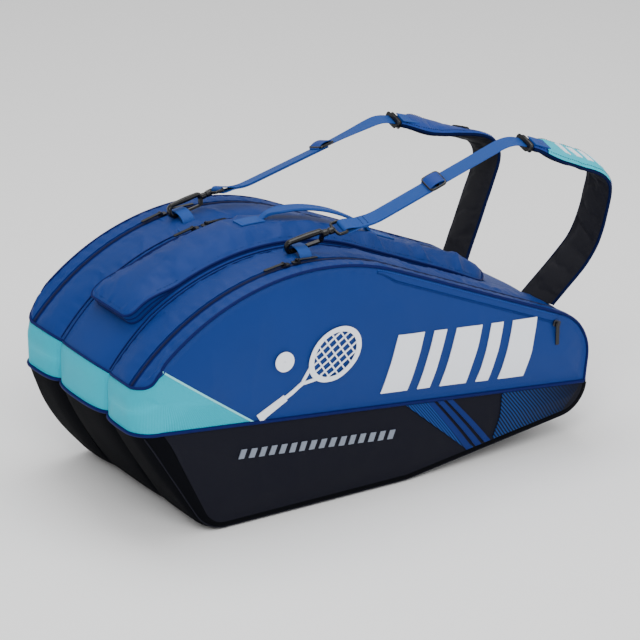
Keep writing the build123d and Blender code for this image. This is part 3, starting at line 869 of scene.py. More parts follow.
# ---- Black underside: base, stern and chin in one sweep ----
def underside_columns(s):
    """Y across the bag with both rounded corners, one row for each place on the outline."""
    left = corner_y(s[:, None], np.linspace(1, 0, 10))
    outer = np.linspace(-0.14, -HALF_CORE, 13)
    inner = np.concatenate([outer, np.linspace(-HALF_CORE, HALF_CORE, 25)[1:-1], -outer[::-1]])
    return np.concatenate([left, np.broadcast_to(inner, (len(s), len(inner))), -left[:, ::-1]], axis=1)


def make_underside():
    s = np.concatenate([np.arange(S_BELT, LOOP, 0.006), [LOOP]])
    y = underside_columns(s)
    grid = skin(s[:, None], y)
    share = np.clip((s - S_FOOT) / (LOOP - S_FOOT), 0, 1)[:, None]
    fade = 1 - np.clip((np.abs(y) - HALF_WIDTH + CORNER_R) / CORNER_R, 0, 1) ** 3
    sag = np.interp(y, STERN_SAG_Y, STERN_SAG) * fade * np.sin(pi * share) ** 0.9
    folds = crumple(grid, 0.07, 0.0012, 5) * (s[:, None] > S_FOOT)
    # The stern, base and chin take the darker copy of the black cloth: painted shade.
    piece = lined("underside", pushed(grid, folds + sag), "black_shaded")
    place(piece, "root", "fabric_black", "base_panel", "stern_lower")


def make_lower_panels():
    lower = resample(EDGE_LOWER, 220)
    upper = np.linspace(BELT_START, (EDGE_LOWER[-1, 0], BELT_END[1]), 220)
    v = np.linspace(0, 1, 24)[:, None]
    flat = lower[:, None] * (1 - v) + upper[:, None] * v
    grid = face(flat[..., 0], flat[..., 1] - 1e-6)
    for name, side in SIDES.items():
        piece = lined(f"lower_panel_{name}", grid, "black", side, flat)
        place(piece, "root", "fabric_black", f"lower_side_{name}")


# ---- Blue faces ----
def make_faces():
    top = resample(EDGE_UPPER, 260)
    bottom = resample(np.array([DIAGONAL[-1], DIAGONAL[0], EDGE_UPPER[-1]]), 260)
    v = (1 - np.cos(np.linspace(0, pi, 40))) / 2
    flat = bottom[:, None] * (1 - v[:, None]) + top[:, None] * v[:, None]
    from_top = (1 - v) * np.linalg.norm(top - bottom, axis=1)[:, None]
    run = along(top)[:, None] + np.zeros_like(from_top)
    gathers = seam_waves(run, from_top, 0.0005, 0.021, 1.0) * smooth(from_top / 0.004)
    grid = pushed(face(flat[..., 0], flat[..., 1]), gathers)
    for name, side in SIDES.items():
        piece = lined(f"face_{name}", grid, "blue", side, flat)
        place(piece, f"{name}_cover", "fabric_blue", f"{name}_panel")


# ---- Blue top: strips each side of the zips ----
GUSSET_OUTER_Y = 0.1755       # against the inside of the face
GUSSET_INNER_Y = 0.150
GUSSET_BEND_Y = 0.170         # from here the gusset turns in behind the face
GUSSET_DEPTH = 0.0056         # just under the nose cloth
GUSSET_TUCK = 0.006
NOSE_SINK = 0.0006            # the nose cloth lies this far below the strips that end on it


def strip(y_outer, y_inner, columns, seed):
    """Blue cloth beside a zip, from the turquoise band to the nose."""
    y = np.linspace(-y_outer, -y_inner, columns)
    begin = edge_start(y) + 0.0005
    rows = int((S_NOSE - begin.min()) / 0.005)
    s = begin + (S_NOSE - begin) * np.linspace(0, 1, rows)[:, None]
    grid = skin(s, y)
    edge = np.minimum(y + y_outer, -y_inner - y) + np.zeros_like(s)
    folds = crumple(grid, 0.13, 0.0024, seed) + crumple(grid * (1, 2.2, 1), 0.05, 0.0011, seed + 1)
    folds = folds * smooth(edge / 0.015)
    folds = folds + creases(grid * (1, 0.7, 1), 0.065, 0.0022, seed + 2) * smooth(edge / 0.012)
    grid = pushed(grid, folds + seam_waves(s, edge, 0.0004, 0.019, seed))
    return settled_grid(grid, 0.020, 0.0022)


def make_top():
    outer = strip(HALF_WIDTH, ZIP_Y + ZIP_HALF, 12, 21)
    inner = strip(ZIP_Y - ZIP_HALF, HALF_CORE + 0.001, 18, 22)
    for name, side in SIDES.items():
        for label, grid, body in (("outer", outer, f"{name}_cover"), ("inner", inner, "root")):
            piece = lined(f"top_{label}_{name}", grid, "blue", side)
            place(piece, body, "fabric_blue", f"crown_{name}_{label}")
    s = np.arange(S_NOSE + 0.001, S_BELT + 0.004, 0.004)
    grid = skin(s[:, None], underside_columns(s), -NOSE_SINK)
    nose = lined("nose_cloth", grid, "blue", thickness=WALL - NOSE_SINK)
    place(nose, "root", "fabric_blue", "nose_panels")


def make_nose_gussets():
    """Soft folds inside the nose that fill the slit beside an opened cover."""
    s = np.arange(S_NOSE, S_BELT, 0.005)[:, None]
    y = np.linspace(-GUSSET_OUTER_Y, -GUSSET_INNER_Y, 10)
    tuck = GUSSET_TUCK * smooth((-GUSSET_BEND_Y - y) / (GUSSET_OUTER_Y - GUSSET_BEND_Y))
    grid = skin(s, y, -GUSSET_DEPTH - tuck)
    for name, side in SIDES.items():
        piece = lined(f"nose_gusset_{name}", grid, "blue", side, thickness=0.0010)
        start = (HALF_LENGTH, side * GUSSET_INNER_Y, NOSE_TOP_Z)
        end = (HALF_LENGTH, side * GUSSET_OUTER_Y, NOSE_TOP_Z)
        join_bodies(piece, f"{name}_cover", start, end, "fabric_blue")


# ---- Middle compartment: fixed rails round the opening, and the raised lid ----
LID_START = s_top(CROWN[0] - CROWN_R * sin(radians(38)))
LID_END = s_top(0.286)
LID_FRONT_Y = -0.060
LID_BACK_Y = 0.056
LID_ZIP_Y = 0.062
LID_RISE = 0.016
LID_STERN_RISE = 0.003
LID_FRONT_DROP = 0.0105
LID_BACK_DROP = 0.012
LID_NOSE_DROP = 0.004
LID_EDGE_DROP = 0.0016
LID_CROWN = 0.0025
LID_CORNERS = (0.016, 0.030)
LID_LIP = 0.004
LID_CLOTH = 0.003
LID_STITCH_INSET = 0.0065
HANDLE_Y = -0.002


def skin_patch(name, s_range, y_range, rows, columns, fold, *nodes):
    """Fixed blue cloth on the middle compartment."""
    s = np.linspace(*s_range, rows)[:, None]
    y = np.linspace(*y_range, columns)[None, :]
    grid = skin(s, y)
    hold = smooth(np.minimum(y - y_range[0], y_range[1] - y) / 0.015)
    piece = lined(name, pushed(grid, crumple(grid, 0.09, fold, 1) * hold), "blue")
    place(piece, "root", "fabric_blue", *nodes)


def make_middle():
    edge = HALF_CORE - 0.001
    start, end = LID_START + LID_LIP, LID_END - LID_LIP
    skin_patch("top_middle_stern", (S_BAND + 0.0005, start), (-edge, edge), 16, 36, 0.0012, "crown_middle")
    skin_patch("top_middle_nose", (end, S_NOSE), (-edge, edge), 24, 36, 0.0012)
    skin_patch("top_rail_front", (start, end), (-edge, LID_FRONT_Y + LID_LIP), 120, 6, 0)
    skin_patch("top_rail_back", (start, end), (LID_ZIP_Y + 0.0057, edge), 120, 3, 0)


def lid_distance(s, y):
    """Distance in from the lid's rounded outline."""
    from_end = np.minimum(s - LID_START, LID_END - s)
    from_side = np.minimum(y - LID_FRONT_Y, LID_BACK_Y - y)
    r = np.where(s < (LID_START + LID_END) / 2, *LID_CORNERS)
    rounded = r - np.hypot(r - from_end, r - from_side)
    cornered = (from_end < r) & (from_side < r)
    return np.maximum(np.where(cornered, rounded, np.minimum(from_end, from_side)), 0)


def clear_of_handle(x, y):
    """0 under the handle and its sewn tabs, rising to 1 beside them."""
    beside = smooth((np.abs(y - HANDLE_Y) - 0.014) / 0.014)
    return np.maximum(beside, smooth((np.abs(x - 0.006) - 0.130) / 0.02))


def lid_points(s, y, share=1.0, lift=0.0):
    """Places on the lid's cloth; share 0 is the foot of its wall and 1 its upper surface."""
    s, y = np.broadcast_arrays(np.asarray(s, float), np.asarray(y, float))
    d = lid_distance(s, y)
    from_stern = s - LID_START
    tall = LID_RISE + LID_STERN_RISE * (1 - smooth(from_stern / 0.10))
    low = smooth((from_stern - 0.030) / 0.06)
    front = 1 - smooth((y - LID_FRONT_Y) / 0.036)
    nose = smooth(1 - (LID_END - s) / 0.10) * (1 - smooth(d / 0.03))
    back = smooth((y - 0.014) / (LID_BACK_Y - 0.014)) * smooth((from_stern - 0.012) / 0.09)
    height = tall - LID_FRONT_DROP * front * low - LID_BACK_DROP * back - LID_NOSE_DROP * nose
    height = height - LID_EDGE_DROP * (1 - smooth(d / 0.005)) + LID_CROWN * smooth(d / 0.05)
    plain = skin(s, y)
    folds = crumple(plain * (1, 1.6, 1), 0.075, 0.0036, 31) + crumple(plain * (1, 2.5, 1), 0.035, 0.0012, 32)
    folds = folds + creases(plain * (1.5, 0.8, 1), 0.080, 0.0034, 33) - 0.0008
    forward = smooth((plain[..., 0] + 0.24) / 0.2)
    folds = folds * smooth((d - 0.002) / 0.010) * (0.4 + 0.9 * forward) * clear_of_handle(plain[..., 0], y)
    return skin(s, y, height * share + folds + lift)


def lid_ring(distance=0.0):
    """Closed line round the lid, a distance in from its outline, as places along s and y."""
    low, high = LID_START + distance, LID_END - distance
    left, right = LID_FRONT_Y + distance, LID_BACK_Y - distance
    stern_r, nose_r = (max(radius - distance, 0.003) for radius in LID_CORNERS)
    corners = (
        (low + stern_r, left + stern_r, stern_r, 180),
        (high - nose_r, left + nose_r, nose_r, 270),
        (high - nose_r, right - nose_r, nose_r, 0),
        (low + stern_r, right - stern_r, stern_r, 90),
    )
    arcs = []
    for s, y, r, start in corners:
        a = np.radians(np.linspace(start, start + 90, 12))
        arcs.append(np.column_stack([s + r * np.cos(a), y + r * np.sin(a)]))
    ring = np.concatenate(arcs + [arcs[0][:1]])
    return resample(ring, int(along(ring)[-1] / 0.006))


def make_lid():
    turned = np.linspace(0, pi / 2, 8)
    ends = [(r * (1 - np.cos(turned)), r * (1 - np.sin(turned))) for r in LID_CORNERS]
    between = np.linspace(LID_START + LID_CORNERS[0], LID_END - LID_CORNERS[1], 110)[1:-1]
    s = np.concatenate([LID_START + ends[0][0], between, LID_END - ends[1][0][::-1]])
    tucked = np.concatenate([ends[0][1], np.zeros(len(between)), ends[1][1][::-1]])
    t = np.linspace(0, 1, 34)
    v = 0.45 * t + 0.55 * (1 - np.cos(pi * t)) / 2
    y = (LID_FRONT_Y + tucked)[:, None] * (1 - v) + (LID_BACK_Y - tucked)[:, None] * v
    s = np.broadcast_to(s[:, None], y.shape)
    index = np.arange(y.size).reshape(y.shape)
    ring = np.concatenate([index[0, :-1], index[:-1, -1], index[-1, :0:-1], index[:0:-1, 0]])
    points = [lid_points(s, y).reshape(-1, 3)]
    faces = [quads(*y.shape)]
    upper = ring
    levels = (0.80, 0.55, 0.30, 0.04)
    for k, share in enumerate(levels):
        points.append(lid_points(s.ravel()[ring], y.ravel()[ring], share))
        lower = y.size + k * len(ring) + np.arange(len(ring))
        faces.append(np.column_stack([upper, np.roll(upper, -1), np.roll(lower, -1), lower]))
        upper = lower
    flat = np.column_stack([s.ravel(), y.ravel()])
    uv = [flat] + [flat[ring] - (0, 0.005 * (k + 1)) for k in range(len(levels))]
    points, faces = np.concatenate(points), np.concatenate(faces)
    free = (lid_distance(s, y) > 0.004).ravel()
    held = np.ones(len(points), bool)
    held[: y.size] = ~free
    moved = settled(points, faces, held, 0.022, 0.0026) - points
    beside_handle = np.ones(len(points))
    beside_handle[: y.size] = clear_of_handle(points[: y.size, 0], y.ravel())
    points = points + moved * beside_handle[:, None]
    lid = thickened("lid", points, faces, LID_CLOTH, "blue", "lining", np.concatenate(uv))
    place(lid, "middle_lid", "fabric_blue", "lid_panel", "lid_wall")
    for label, share, radius in (("top", 0.97, 0.0019), ("middle", 0.50, 0.0011), ("base", 0.06, 0.0017)):
        line = lid_points(*lid_ring().T, share)
        cord = loft(f"lid_piping_{label}", line, (0.1, 0.2, 1), round_section(radius, 8), "piping")
        place(cord, "middle_lid", "piping_navy")
    row = lid_points(*lid_ring(LID_STITCH_INSET).T, 1.0, 0.0004)
    stitches("lid_stitches", row, (0.1, 0.1, 1), "seam", "middle_lid", "fabric_blue")


# ---- Zips: tape and coil, one half on each side of the gap ----
ZIP_SINK = 0.0010
ZIP_TAPE = 0.0078
LID_ZIP_TAPE = 0.0062
COIL_PITCH = 0.0018
COIL_R = 0.00105
COIL_Y = 0.0013


def zip_half(name, s_range, y, outward, body, width=ZIP_TAPE):
    """Half of a zip, from its meeting line at y outwards (+1 or -1 along Y); it has its node's name."""
    s = np.arange(*s_range, 0.004)
    across = np.sort(y + outward * np.linspace(0.0003, width, 4))
    tape = shell(f"{name}_tape", skin(s[:, None], across, -ZIP_SINK), 0.0009, "tape")
    place(tape, body, "zip_navy", name)
    fine = np.arange(*s_range, COIL_PITCH / 4)
    path = skin(fine, y + outward * COIL_Y, 0.0004 - ZIP_SINK)
    teeth = 1 + 0.28 * np.sin(2 * pi * fine / COIL_PITCH)
    size = np.column_stack([teeth, teeth])
    coil = loft(f"{name}_coil", path, (0, 0.001, 1), round_section(COIL_R, 6), "coil", size)
    place(coil, body, "zip_navy")


def make_zips():
    span = (float(edge_start(ZIP_Y)) + 0.001, S_NOSE)
    for name, side in SIDES.items():
        zip_half(f"zip_{name}_outer", span, side * ZIP_Y, side, f"{name}_cover")
        zip_half(f"zip_{name}_inner", span, side * ZIP_Y, -side, "root")
    span = (LID_START + 0.012, LID_END - 0.012)
    zip_half("zip_lid_outer", span, LID_ZIP_Y, -1, "middle_lid", LID_ZIP_TAPE)
    zip_half("zip_lid_inner", span, LID_ZIP_Y, 1, "root", LID_ZIP_TAPE)


# ---- Pipings ----
LOBE_PIPING_R = 0.0026
# Thin dark cords on either side of the lobes' seam piping: painted shadow lines beside the raised cord.
LOBE_SHADOW_R = 0.0010
LOBE_SHADOW_GAP = 0.0042
ARCH_START = 0.012          # the arch piping rises out of its seam over this length
ARCH_LIFT = 0.0012
ARCH_SHARES = (0.62, 0.97)  # place on the rounded edge, along the top and at the nose


def cord_piece(name, path, up, radius, kind, body, *nodes):
    slot = "fabric_black" if kind == "black" else "piping_navy"
    return place(loft(name, path, up, round_section(radius), kind), body, slot, *nodes)


def belt_line():
    """Belt seam of the back side: from the lobes' seam round the corner and along the face."""
    stern_y = np.linspace(HALF_CORE, HALF_WIDTH - CORNER_R, 14)[:-1]
    corner_line = -corner_y(np.zeros(len(SHARES)), SHARES)[:-1]
    stern = skin(0.0, np.concatenate([stern_y, corner_line]), ON_CLOTH)
    x = np.linspace(BELT_START[0], BELT_END[0], 120)
    front = face(x, belt_z(x) + 1e-6, 0.0008) * (1, -1, 1)
    return resample(np.concatenate([stern, front]), 240)


def make_pipings():
    seam = np.arange(0.002, S_BELT, 0.005)
    above_band = seam[seam > S_BAND]
    arch = np.arange(S_WEDGE + 0.001, S_BELT, 0.005)
    arch_lift = np.interp(arch - arch[0], (0, ARCH_START), (-ARCH_LIFT, ARCH_LIFT))
    arch_share = np.interp(arch, (S_NOSE - 0.04, S_NOSE), ARCH_SHARES)
    band_y = np.concatenate([np.linspace(HALF_CORE + 0.001, -BAND_TOP_Y[0], 16)[:-1], -BAND_TOP_Y])
    lower = np.arange(S_BELT + 0.004, LOOP - 0.002, 0.006)
    for name, side in SIDES.items():
        nodes = ["seam_piping"] if side < 0 else []
        path = skin(seam, side * HALF_CORE, 0.0010)
        cord_piece(f"lobe_piping_{name}", path, ACROSS, LOBE_PIPING_R, "seam", "root", *nodes)
        # Painted shadow: a dark cord on each side of the seam piping.
        for label, gap in (("outer", LOBE_SHADOW_GAP), ("inner", -LOBE_SHADOW_GAP)):
            path = skin(above_band, side * (HALF_CORE + gap), 0.0007)
            cord_piece(f"lobe_shadow_line_{name}_{label}", path, ACROSS, LOBE_SHADOW_R, "piping", "root")
        path = skin(arch, -side * corner_y(arch, arch_share), arch_lift)
        cord_piece(f"arch_piping_{name}", path, ACROSS, PIPING_R, "piping", f"{name}_cover", f"piping_{name}")
        path = resample(skin(edge_start(band_y), side * band_y, ON_CLOTH), 50)
        top = loft(f"band_piping_{name}", path, (-0.5, side * 0.4, 0.8), round_section(PIPING_R), "piping")
        bend_with_cover(top, name, "piping_navy")
        path = belt_line() * (1, side, 1)
        cord_piece(f"belt_piping_{name}", path, UPRIGHT, BELT_PIPING_R, "piping", "root")
        path = skin(lower, -side * corner_y(lower, 0.5), 0.0002)
        cord_piece(f"base_seam_{name}", path, ACROSS, 0.0012, "black", "root")
    y = np.linspace(-HALF_CORE, HALF_CORE, 30)
    cord_piece("belt_piping_middle", skin(0.0, y, ON_CLOTH), UPRIGHT, BELT_PIPING_R, "piping", "root")
    cord_piece("band_piping_middle", skin(S_BAND, y, 0.0004), UPRIGHT, 0.0020, "piping", "root")


DIVIDER = 0.003
DIVIDER_GAP = 0.0062        # from its rim to the outside of the bag


def make_dividers():
    """Padded walls between the compartments."""
    s = np.linspace(0, LOOP, 160, endpoint=False)
    share = np.linspace(1, 0.02, 12)[:, None]
    for name, side in SIDES.items():
        rim = skin(s, side * HALF_CORE, -DIVIDER_GAP)
        centre = np.array([-0.05, side * HALF_CORE, 0.15])
        grid = centre + (rim - centre) * share[..., None]
        grid[..., 1] += side * (0.0012 * (1 - share**6) - 0.0015)
        piece = shell(f"divider_cloth_{name}", grid[:, ::side], DIVIDER, "lining", closed=True)
        place(piece, "root", "lining_grey", f"divider_{name}")


# ---- Printed marks and sewn inserts on the front face ----
PRINT = 0.0014
PRINT_LIFT = 0.0019
INSERT_LIFT = 0.0016
STRIPE_LIFT = 0.0018


def decal(name, corners, rows, columns, kind):
    """Thin four-cornered print; corners are XZ, counter-clockwise from the lower left."""
    a, b, c, d = (np.array(p, float) for p in corners)
    u = np.linspace(0, 1, rows)[:, None, None]
    v = np.linspace(0, 1, columns)[None, :, None]
    decal_grid(name, (a * (1 - u) + b * u) * (1 - v) + (d * (1 - u) + c * u) * v, kind)


def decal_grid(name, flat, kind, lift=PRINT_LIFT, closed=False):
    """Thin cloth or print on the front: white is on the cover, the rest on the fixed black panel."""
    piece = shell(name, face(flat[..., 0], flat[..., 1], lift), PRINT, kind, uv=flat, closed=closed)
    body, slot = ("front_cover", "fabric_blue") if kind == "white" else ("root", "fabric_black")
    place(piece, body, slot)


MARK_CENTRE = (-0.116, 0.211)
MARK_TILT = 57.0            # degrees that the racket leans towards the nose
RACKET_HEAD = (0.047, 0.031, 0.039)     # height of its middle, half width and half height of the opening
STRING_WIDTH = 0.0022
BALL_CENTRE = (-0.050, -0.020)
BALL_R = 0.015
BARS = ((0.020, 0.046), (0.084, 0.022), (0.124, 0.046), (0.188, 0.022), (0.228, 0.046))     # start and width
BAR_LEAN = 0.026
BAR_GAP = 0.024             # above the belt
BAR_HEIGHT = 0.088
TICKS = 16
TICK_START = -0.234
TICK_PITCH = 0.0168
TICK_GAP = 0.050            # below the belt
TICK_WIDTH = 0.0090
TICK_HEIGHT = 0.012
TICK_LEAN = 0.006
TICK_DROP = 0.0008          # across a tick's width, with the belt's slope
BELT_SLOPE = (BELT_NOSE_Z - BELT_STERN_Z) / (2 * HALF_LENGTH)


def mark_point(u, v):
    """A place on the racket mark, u across it and v up it, tilted on the face."""
    a = radians(MARK_TILT)
    x = MARK_CENTRE[0] + u * cos(a) + v * sin(a)
    return np.stack([x, MARK_CENTRE[1] - u * sin(a) + v * cos(a)], -1)


def mark_bar(name, start, end, first, last):
    """Straight white bar on the face between two places on the racket mark, with its end widths."""
    start, end = np.array(start), np.array(end)
    side = unit((end - start)[::-1] * (1, -1)) / 2
    corners = (start - side * first, start + side * first, end + side * last, end - side * last)
    decal(name, [mark_point(u, v) for u, v in corners], 4, 14, "white")


def make_mark():
    """A plain racket with a ball, and a row of plain slanting bars."""
    a = np.linspace(0, 2 * pi, 72, endpoint=False)
    middle, wide, tall = RACKET_HEAD
    rings = [mark_point(r * wide * np.cos(a), middle + r * tall * np.sin(a)) for r in (1.20, 1.09, 0.98)]
    decal_grid("mark_ring", np.stack(rings), "white", closed=True)
    for k, u in enumerate(np.linspace(-0.021, 0.021, 5)):
        reach = tall * sqrt(1 - (u / wide) ** 2)
        mark_bar(f"mark_string_{k}", (u, middle - reach), (u, middle + reach), STRING_WIDTH, STRING_WIDTH)
    for k, v in enumerate(np.linspace(-0.026, 0.026, 5)):
        reach = wide * sqrt(1 - (v / tall) ** 2)
        mark_bar(f"mark_cross_{k}", (-reach, middle + v), (reach, middle + v), STRING_WIDTH, STRING_WIDTH)
    for k, lean in enumerate((-1, 1)):
        mark_bar(f"mark_throat_{k}", (lean * 0.0020, -0.014), (lean * 0.0150, 0.013), 0.0050, 0.0050)
    mark_bar("mark_shaft", (0, -0.050), (0, -0.012), 0.0062, 0.0062)
    mark_bar("mark_grip", (0, -0.096), (0, -0.048), 0.0150, 0.0115)
    u, v = BALL_CENTRE
    discs = [mark_point(u + r * BALL_R * np.cos(a), v + r * BALL_R * np.sin(a)) for r in (1.0, 0.55, 0.05)]
    decal_grid("mark_ball", np.stack(discs), "white", closed=True)
    half = BAR_LEAN / 2
    for k, (start, width) in enumerate(BARS):
        low = belt_z(start) + BAR_GAP
        high = low + BAR_HEIGHT
        rise = BELT_SLOPE * width
        foot = [(start - half, low), (start - half + width, low + rise)]
        head = [(start + half + width, high + rise), (start + half, high)]
        decal(f"mark_bar_{k}", foot + head, 10, 20, "white")
    for k in range(TICKS):
        start = TICK_START + k * TICK_PITCH
        low = belt_z(start) - TICK_GAP
        head = start + TICK_LEAN
        foot_line = [(start, low), (start + TICK_WIDTH, low - TICK_DROP)]
        head_line = [(head + TICK_WIDTH, low + TICK_HEIGHT), (head, low + TICK_HEIGHT + TICK_DROP)]
        decal(f"tick_{k}", foot_line + head_line, 3, 4, "grey")


def lower_edge_z(x):
    chosen = (EDGE_LOWER[:, 0] > -0.28) & (EDGE_LOWER[:, 1] < 0.09)
    return np.interp(x, EDGE_LOWER[chosen, 0], EDGE_LOWER[chosen, 1])


def insert(name, top, bottom, kind, lift=INSERT_LIFT):
    """Cloth insert on the lower panel between its two long edges."""
    t = np.linspace(0, 1, max(4, int((top[1] - top[0]) / 0.006)))[:, None]
    v = np.linspace(0, 1, 22)
    x_top = top[0] + (top[1] - top[0]) * t
    x_low = bottom[0] + (bottom[1] - bottom[0]) * t
    low = lower_edge_z(x_low) + 0.0015
    z = low + (belt_z(x_top) - 0.003 - low) * v
    decal_grid(name, np.stack([x_low + (x_top - x_low) * v, z], -1), kind, lift)


STRIPE_START = 0.094
STRIPE_PITCH = 0.0165
STRIPE_WIDTH = 0.0105
STRIPE_LEAN = 0.070


def make_inserts():
    insert("insert_near", (0.055, 0.094), (0.165, 0.176), "hatch")
    for k in range(3):
        start = STRIPE_START + STRIPE_PITCH * k
        foot = start + STRIPE_LEAN
        top, bottom = ((x, x + STRIPE_WIDTH) for x in (start, foot))
        insert(f"insert_stripe_{k}", top, bottom, "stripe", STRIPE_LIFT)
    insert("insert_far", (0.228, 0.372), (0.212, 0.340), "hatch_fading")


POCKET_START = 0.006
POCKET_END = 0.330
# The welt's lines from the arch down: depth at its pointed end, how much they widen, and height.
WELT_DEPTH = np.array([0.006, 0.0065, 0.008, 0.009, 0.009])
WELT_WIDEN = np.array([0, 0.001, 0.004, 0.0055, 0.0065])
WELT_LIFT = np.array([0, 0.0012, 0.0022, 0.0020, 0.0006])


def below_arch(s, depth, lift=0.0):
    """Places on the face at a depth below the arch's edge."""
    (x, z), (nx, nz) = on_line(s)
    return face(x - nx * depth, z - nz * depth, lift)


def make_pocket():
    s = np.arange(s_top(POCKET_START), s_top(POCKET_END), 0.004)
    widen = smooth((s - s[0]) / (s[-1] - s[0]) / 0.12)
    grid = below_arch(s[:, None], WELT_DEPTH + WELT_WIDEN * widen[:, None])
    grid[..., 1] -= WELT_LIFT
    flap = shell("pocket_welt", grid[:, ::-1], 0.0012, "blue")
    place(flap, "front_cover", "fabric_blue", "pocket_flap")
    line = below_arch(s, 0.010 + 0.0065 * widen, 0.0004)
    coil = loft("pocket_coil", line, OUTWARDS, round_section(0.0010, 6), "seam")
    place(coil, "front_cover", "zip_navy")
    line = below_arch(s, 0.010 + 0.0085 * widen, 0.0003)
    stitches("pocket_stitches", line, OUTWARDS, "seam", "front_cover", "zip_navy")
    line = below_arch(s, 0.0055, 0.0003)
    stitches("pocket_stitches_upper", line, OUTWARDS, "thread", "front_cover", "zip_navy")


# ---- Shoulder straps, in each strap's own plane: along it, and away from the bag ----
STRAP_LEAN = 15.0
HOOK_RISE = 0.008
STRAP_BASE = (0.340, 0.106, 0.002)
STRAP_HOOK_Y = 0.114
WEBBING_WIDTH = 0.025
WEBBING = 0.0018
PAD_WIDTH = 0.064
PAD = 0.012
PAD_CLOTH = 0.0022
PAD_BEND = (0.006, 0.050)    # heights above the sewn foot between which the pad would bend; nothing bends it
EDGE_STITCH = 1.4            # columns in from the pad's edge
FOOT_STITCHES = (0.010, 0.016)
EYE_WRAP_R = 0.0034          # half the gap the webbing keeps round the hook's eye
DOUBLED_GAP = 0.0022         # between the two layers of webbing from the eye to the adjuster
WEBBING_STITCHES = (0.026, 0.034)
ADJUSTER_HALF = (0.0125, 0.0160)
HUMP_HALF = 0.0150           # half length of the webbing that humps over the adjuster's bar
HUMP_RISE = 0.0058
HUMP_SINK = 0.0016
KEEPER_HALF_RISE = 0.0048
STRAPS = {
    "front": {
        "hook_x": -0.090,
        "webbing": ((0.0567, 0.0499), (0.098, 0.0711), (0.262, 0.240), (0.2997, 0.238)),
        "webbing_radii": (0.060, 0.045),
        "pad": ((0.300, 0.238), (0.455, 0.232), (0.494, 0.108), (0.464, 0.002)),
        "pad_radii": (0.050, 0.130),
        "adjuster": (0.1707, 0.1460),
        "bright": (0.024, 0.152),
        "hook_turn": 33.0,
        "roll": 0.0,
    },
    "back": {
        "hook_x": -0.150,
        "webbing": ((0.0608, 0.0448), (0.100, 0.0554), (0.338, 0.193), (0.3717, 0.193)),
        "webbing_radii": (0.060, 0.060),
        "pad": ((0.372, 0.193), (0.562, 0.193), (0.514, 0.002)),
        "pad_radii": (0.028,),
        "adjuster": (0.2362, 0.1341),
        "bright": None,
        "hook_turn": 28.0,
        "roll": 30.0,
    },
}


def top_point(x, y, lift):
    """Places above the plain top line, and the surface's own upright there."""
    (_, z), (nx, nz) = on_line(s_top(x))
    normal = np.stack([nx, 0 * nx, nz], -1)
    return np.stack(np.broadcast_arrays(x, y, z), -1) + normal * np.asarray(lift)[..., None], normal


def strap_axes(name):
    """Origin and the along, outward and across directions of a strap."""
    side = SIDES[name]
    hook, _ = top_point(STRAPS[name]["hook_x"], side * STRAP_HOOK_Y, HOOK_RISE)
    base, _ = top_point(STRAP_BASE[0], side * STRAP_BASE[1], STRAP_BASE[2])
    run = unit(base - hook)
    upright = unit(np.array(UPRIGHT) - run * run[2])
    outward = np.cross(run, upright) * -side
    away = upright * cos(radians(STRAP_LEAN)) + outward * sin(radians(STRAP_LEAN))
    return hook, run, away, np.cross(run, away)


AXES = {name: strap_axes(name) for name in SIDES}


def rounded_route(points, radii):
    """Straight runs joined by arcs, as dense points in the strap's plane."""
    points = [np.array(p, float) for p in points]
    route = [points[0]]
    for before, here, after, radius in zip(points, points[1:], points[2:], radii):
        a, b = unit(before - here), unit(after - here)
        half = np.arccos(np.clip(a @ b, -1, 1)) / 2
        reach = radius / np.tan(half)
        centre = here + unit(a + b) * radius / sin(half)
        first, last = here + a * reach - centre, here + b * reach - centre
        for t in np.linspace(0, 1, 16):
            route.append(centre + unit(first * (1 - t) + last * t) * radius)
    route.append(points[-1])
    return np.array(route)


def in_plane(name, route):
    hook, run, away, _ = AXES[name]
    route = np.asarray(route)
    return hook + route[..., :1] * run + route[..., 1:] * away


def smoothed(route, passes):
    route = route.copy()
    for _ in range(passes):
        route[1:-1] = route[1:-1] * 0.5 + (route[:-2] + route[2:]) * 0.25
    return route


def across_guide(name, path):
    """Up direction that keeps a band's width along the strap's across direction."""
    return unit(np.cross(AXES[name][3], np.gradient(path, axis=0)))


def heading(path, i):
    """Forward direction of a path at one of its points."""
    return unit(np.gradient(path, axis=0)[i])


def rolled(name, up, angle):
    """Up directions turned about the strap, towards its across direction, by angles in degrees."""
    a = np.radians(angle)[:, None]
    return up * np.cos(a) + AXES[name][3] * np.sin(a)


def make_webbing(name):
    """Webbing from the pad to the hook's eye, round its bar and back to the adjuster."""
    strap = STRAPS[name]
    route = smoothed(resample(rounded_route(strap["webbing"], strap["webbing_radii"]), 200), 30)
    run = along(route)
    path = in_plane(name, route)
    up = across_guide(name, path)
    parting = EYE_WRAP_R * (1 - smooth(run / 0.024))[:, None]
    stop = np.linalg.norm(np.array(strap["adjuster"]) - route[0])
    upper = path + up * parting
    lower = (path - up * (parting + DOUBLED_GAP))[run < stop + 0.006]
    # Round the eye's bar, on the side towards the hook.
    centre = (upper[0] + lower[0]) / 2
    radius = np.linalg.norm(upper[0] - lower[0]) / 2
    a = np.linspace(-pi / 2, pi / 2, 16)[1:-1, None]
    fold = centre + up[0] * np.sin(a) * radius - heading(path, 0) * np.cos(a) * radius
    whole = np.concatenate([lower[::-1], fold, upper])
    turning = strap["roll"] * smooth((run - stop - 0.01) / (run[-1] - stop - 0.01))
    angle = np.concatenate([np.zeros(len(whole) - len(upper)), turning])
    guide = rolled(name, across_guide(name, whole), angle)
    main = band(f"webbing_cloth_{name}", whole, guide, WEBBING_WIDTH, WEBBING, "webbing")
    place(main, f"{name}_strap", "webbing_blue", f"webbing_{name}")
    reach = np.linspace(-0.010, 0.010, 12)[:, None]
    for k, near in enumerate(WEBBING_STITCHES):
        i = int(np.searchsorted(run, near))
        row = upper[i] + AXES[name][3] * reach + up[i] * 0.0010
        label = f"webbing_stitch_{name}_{k}"
        stitches(label, row, up[i], "dark_thread", f"{name}_strap", "webbing_blue")
    return path, rolled(name, up, turning)


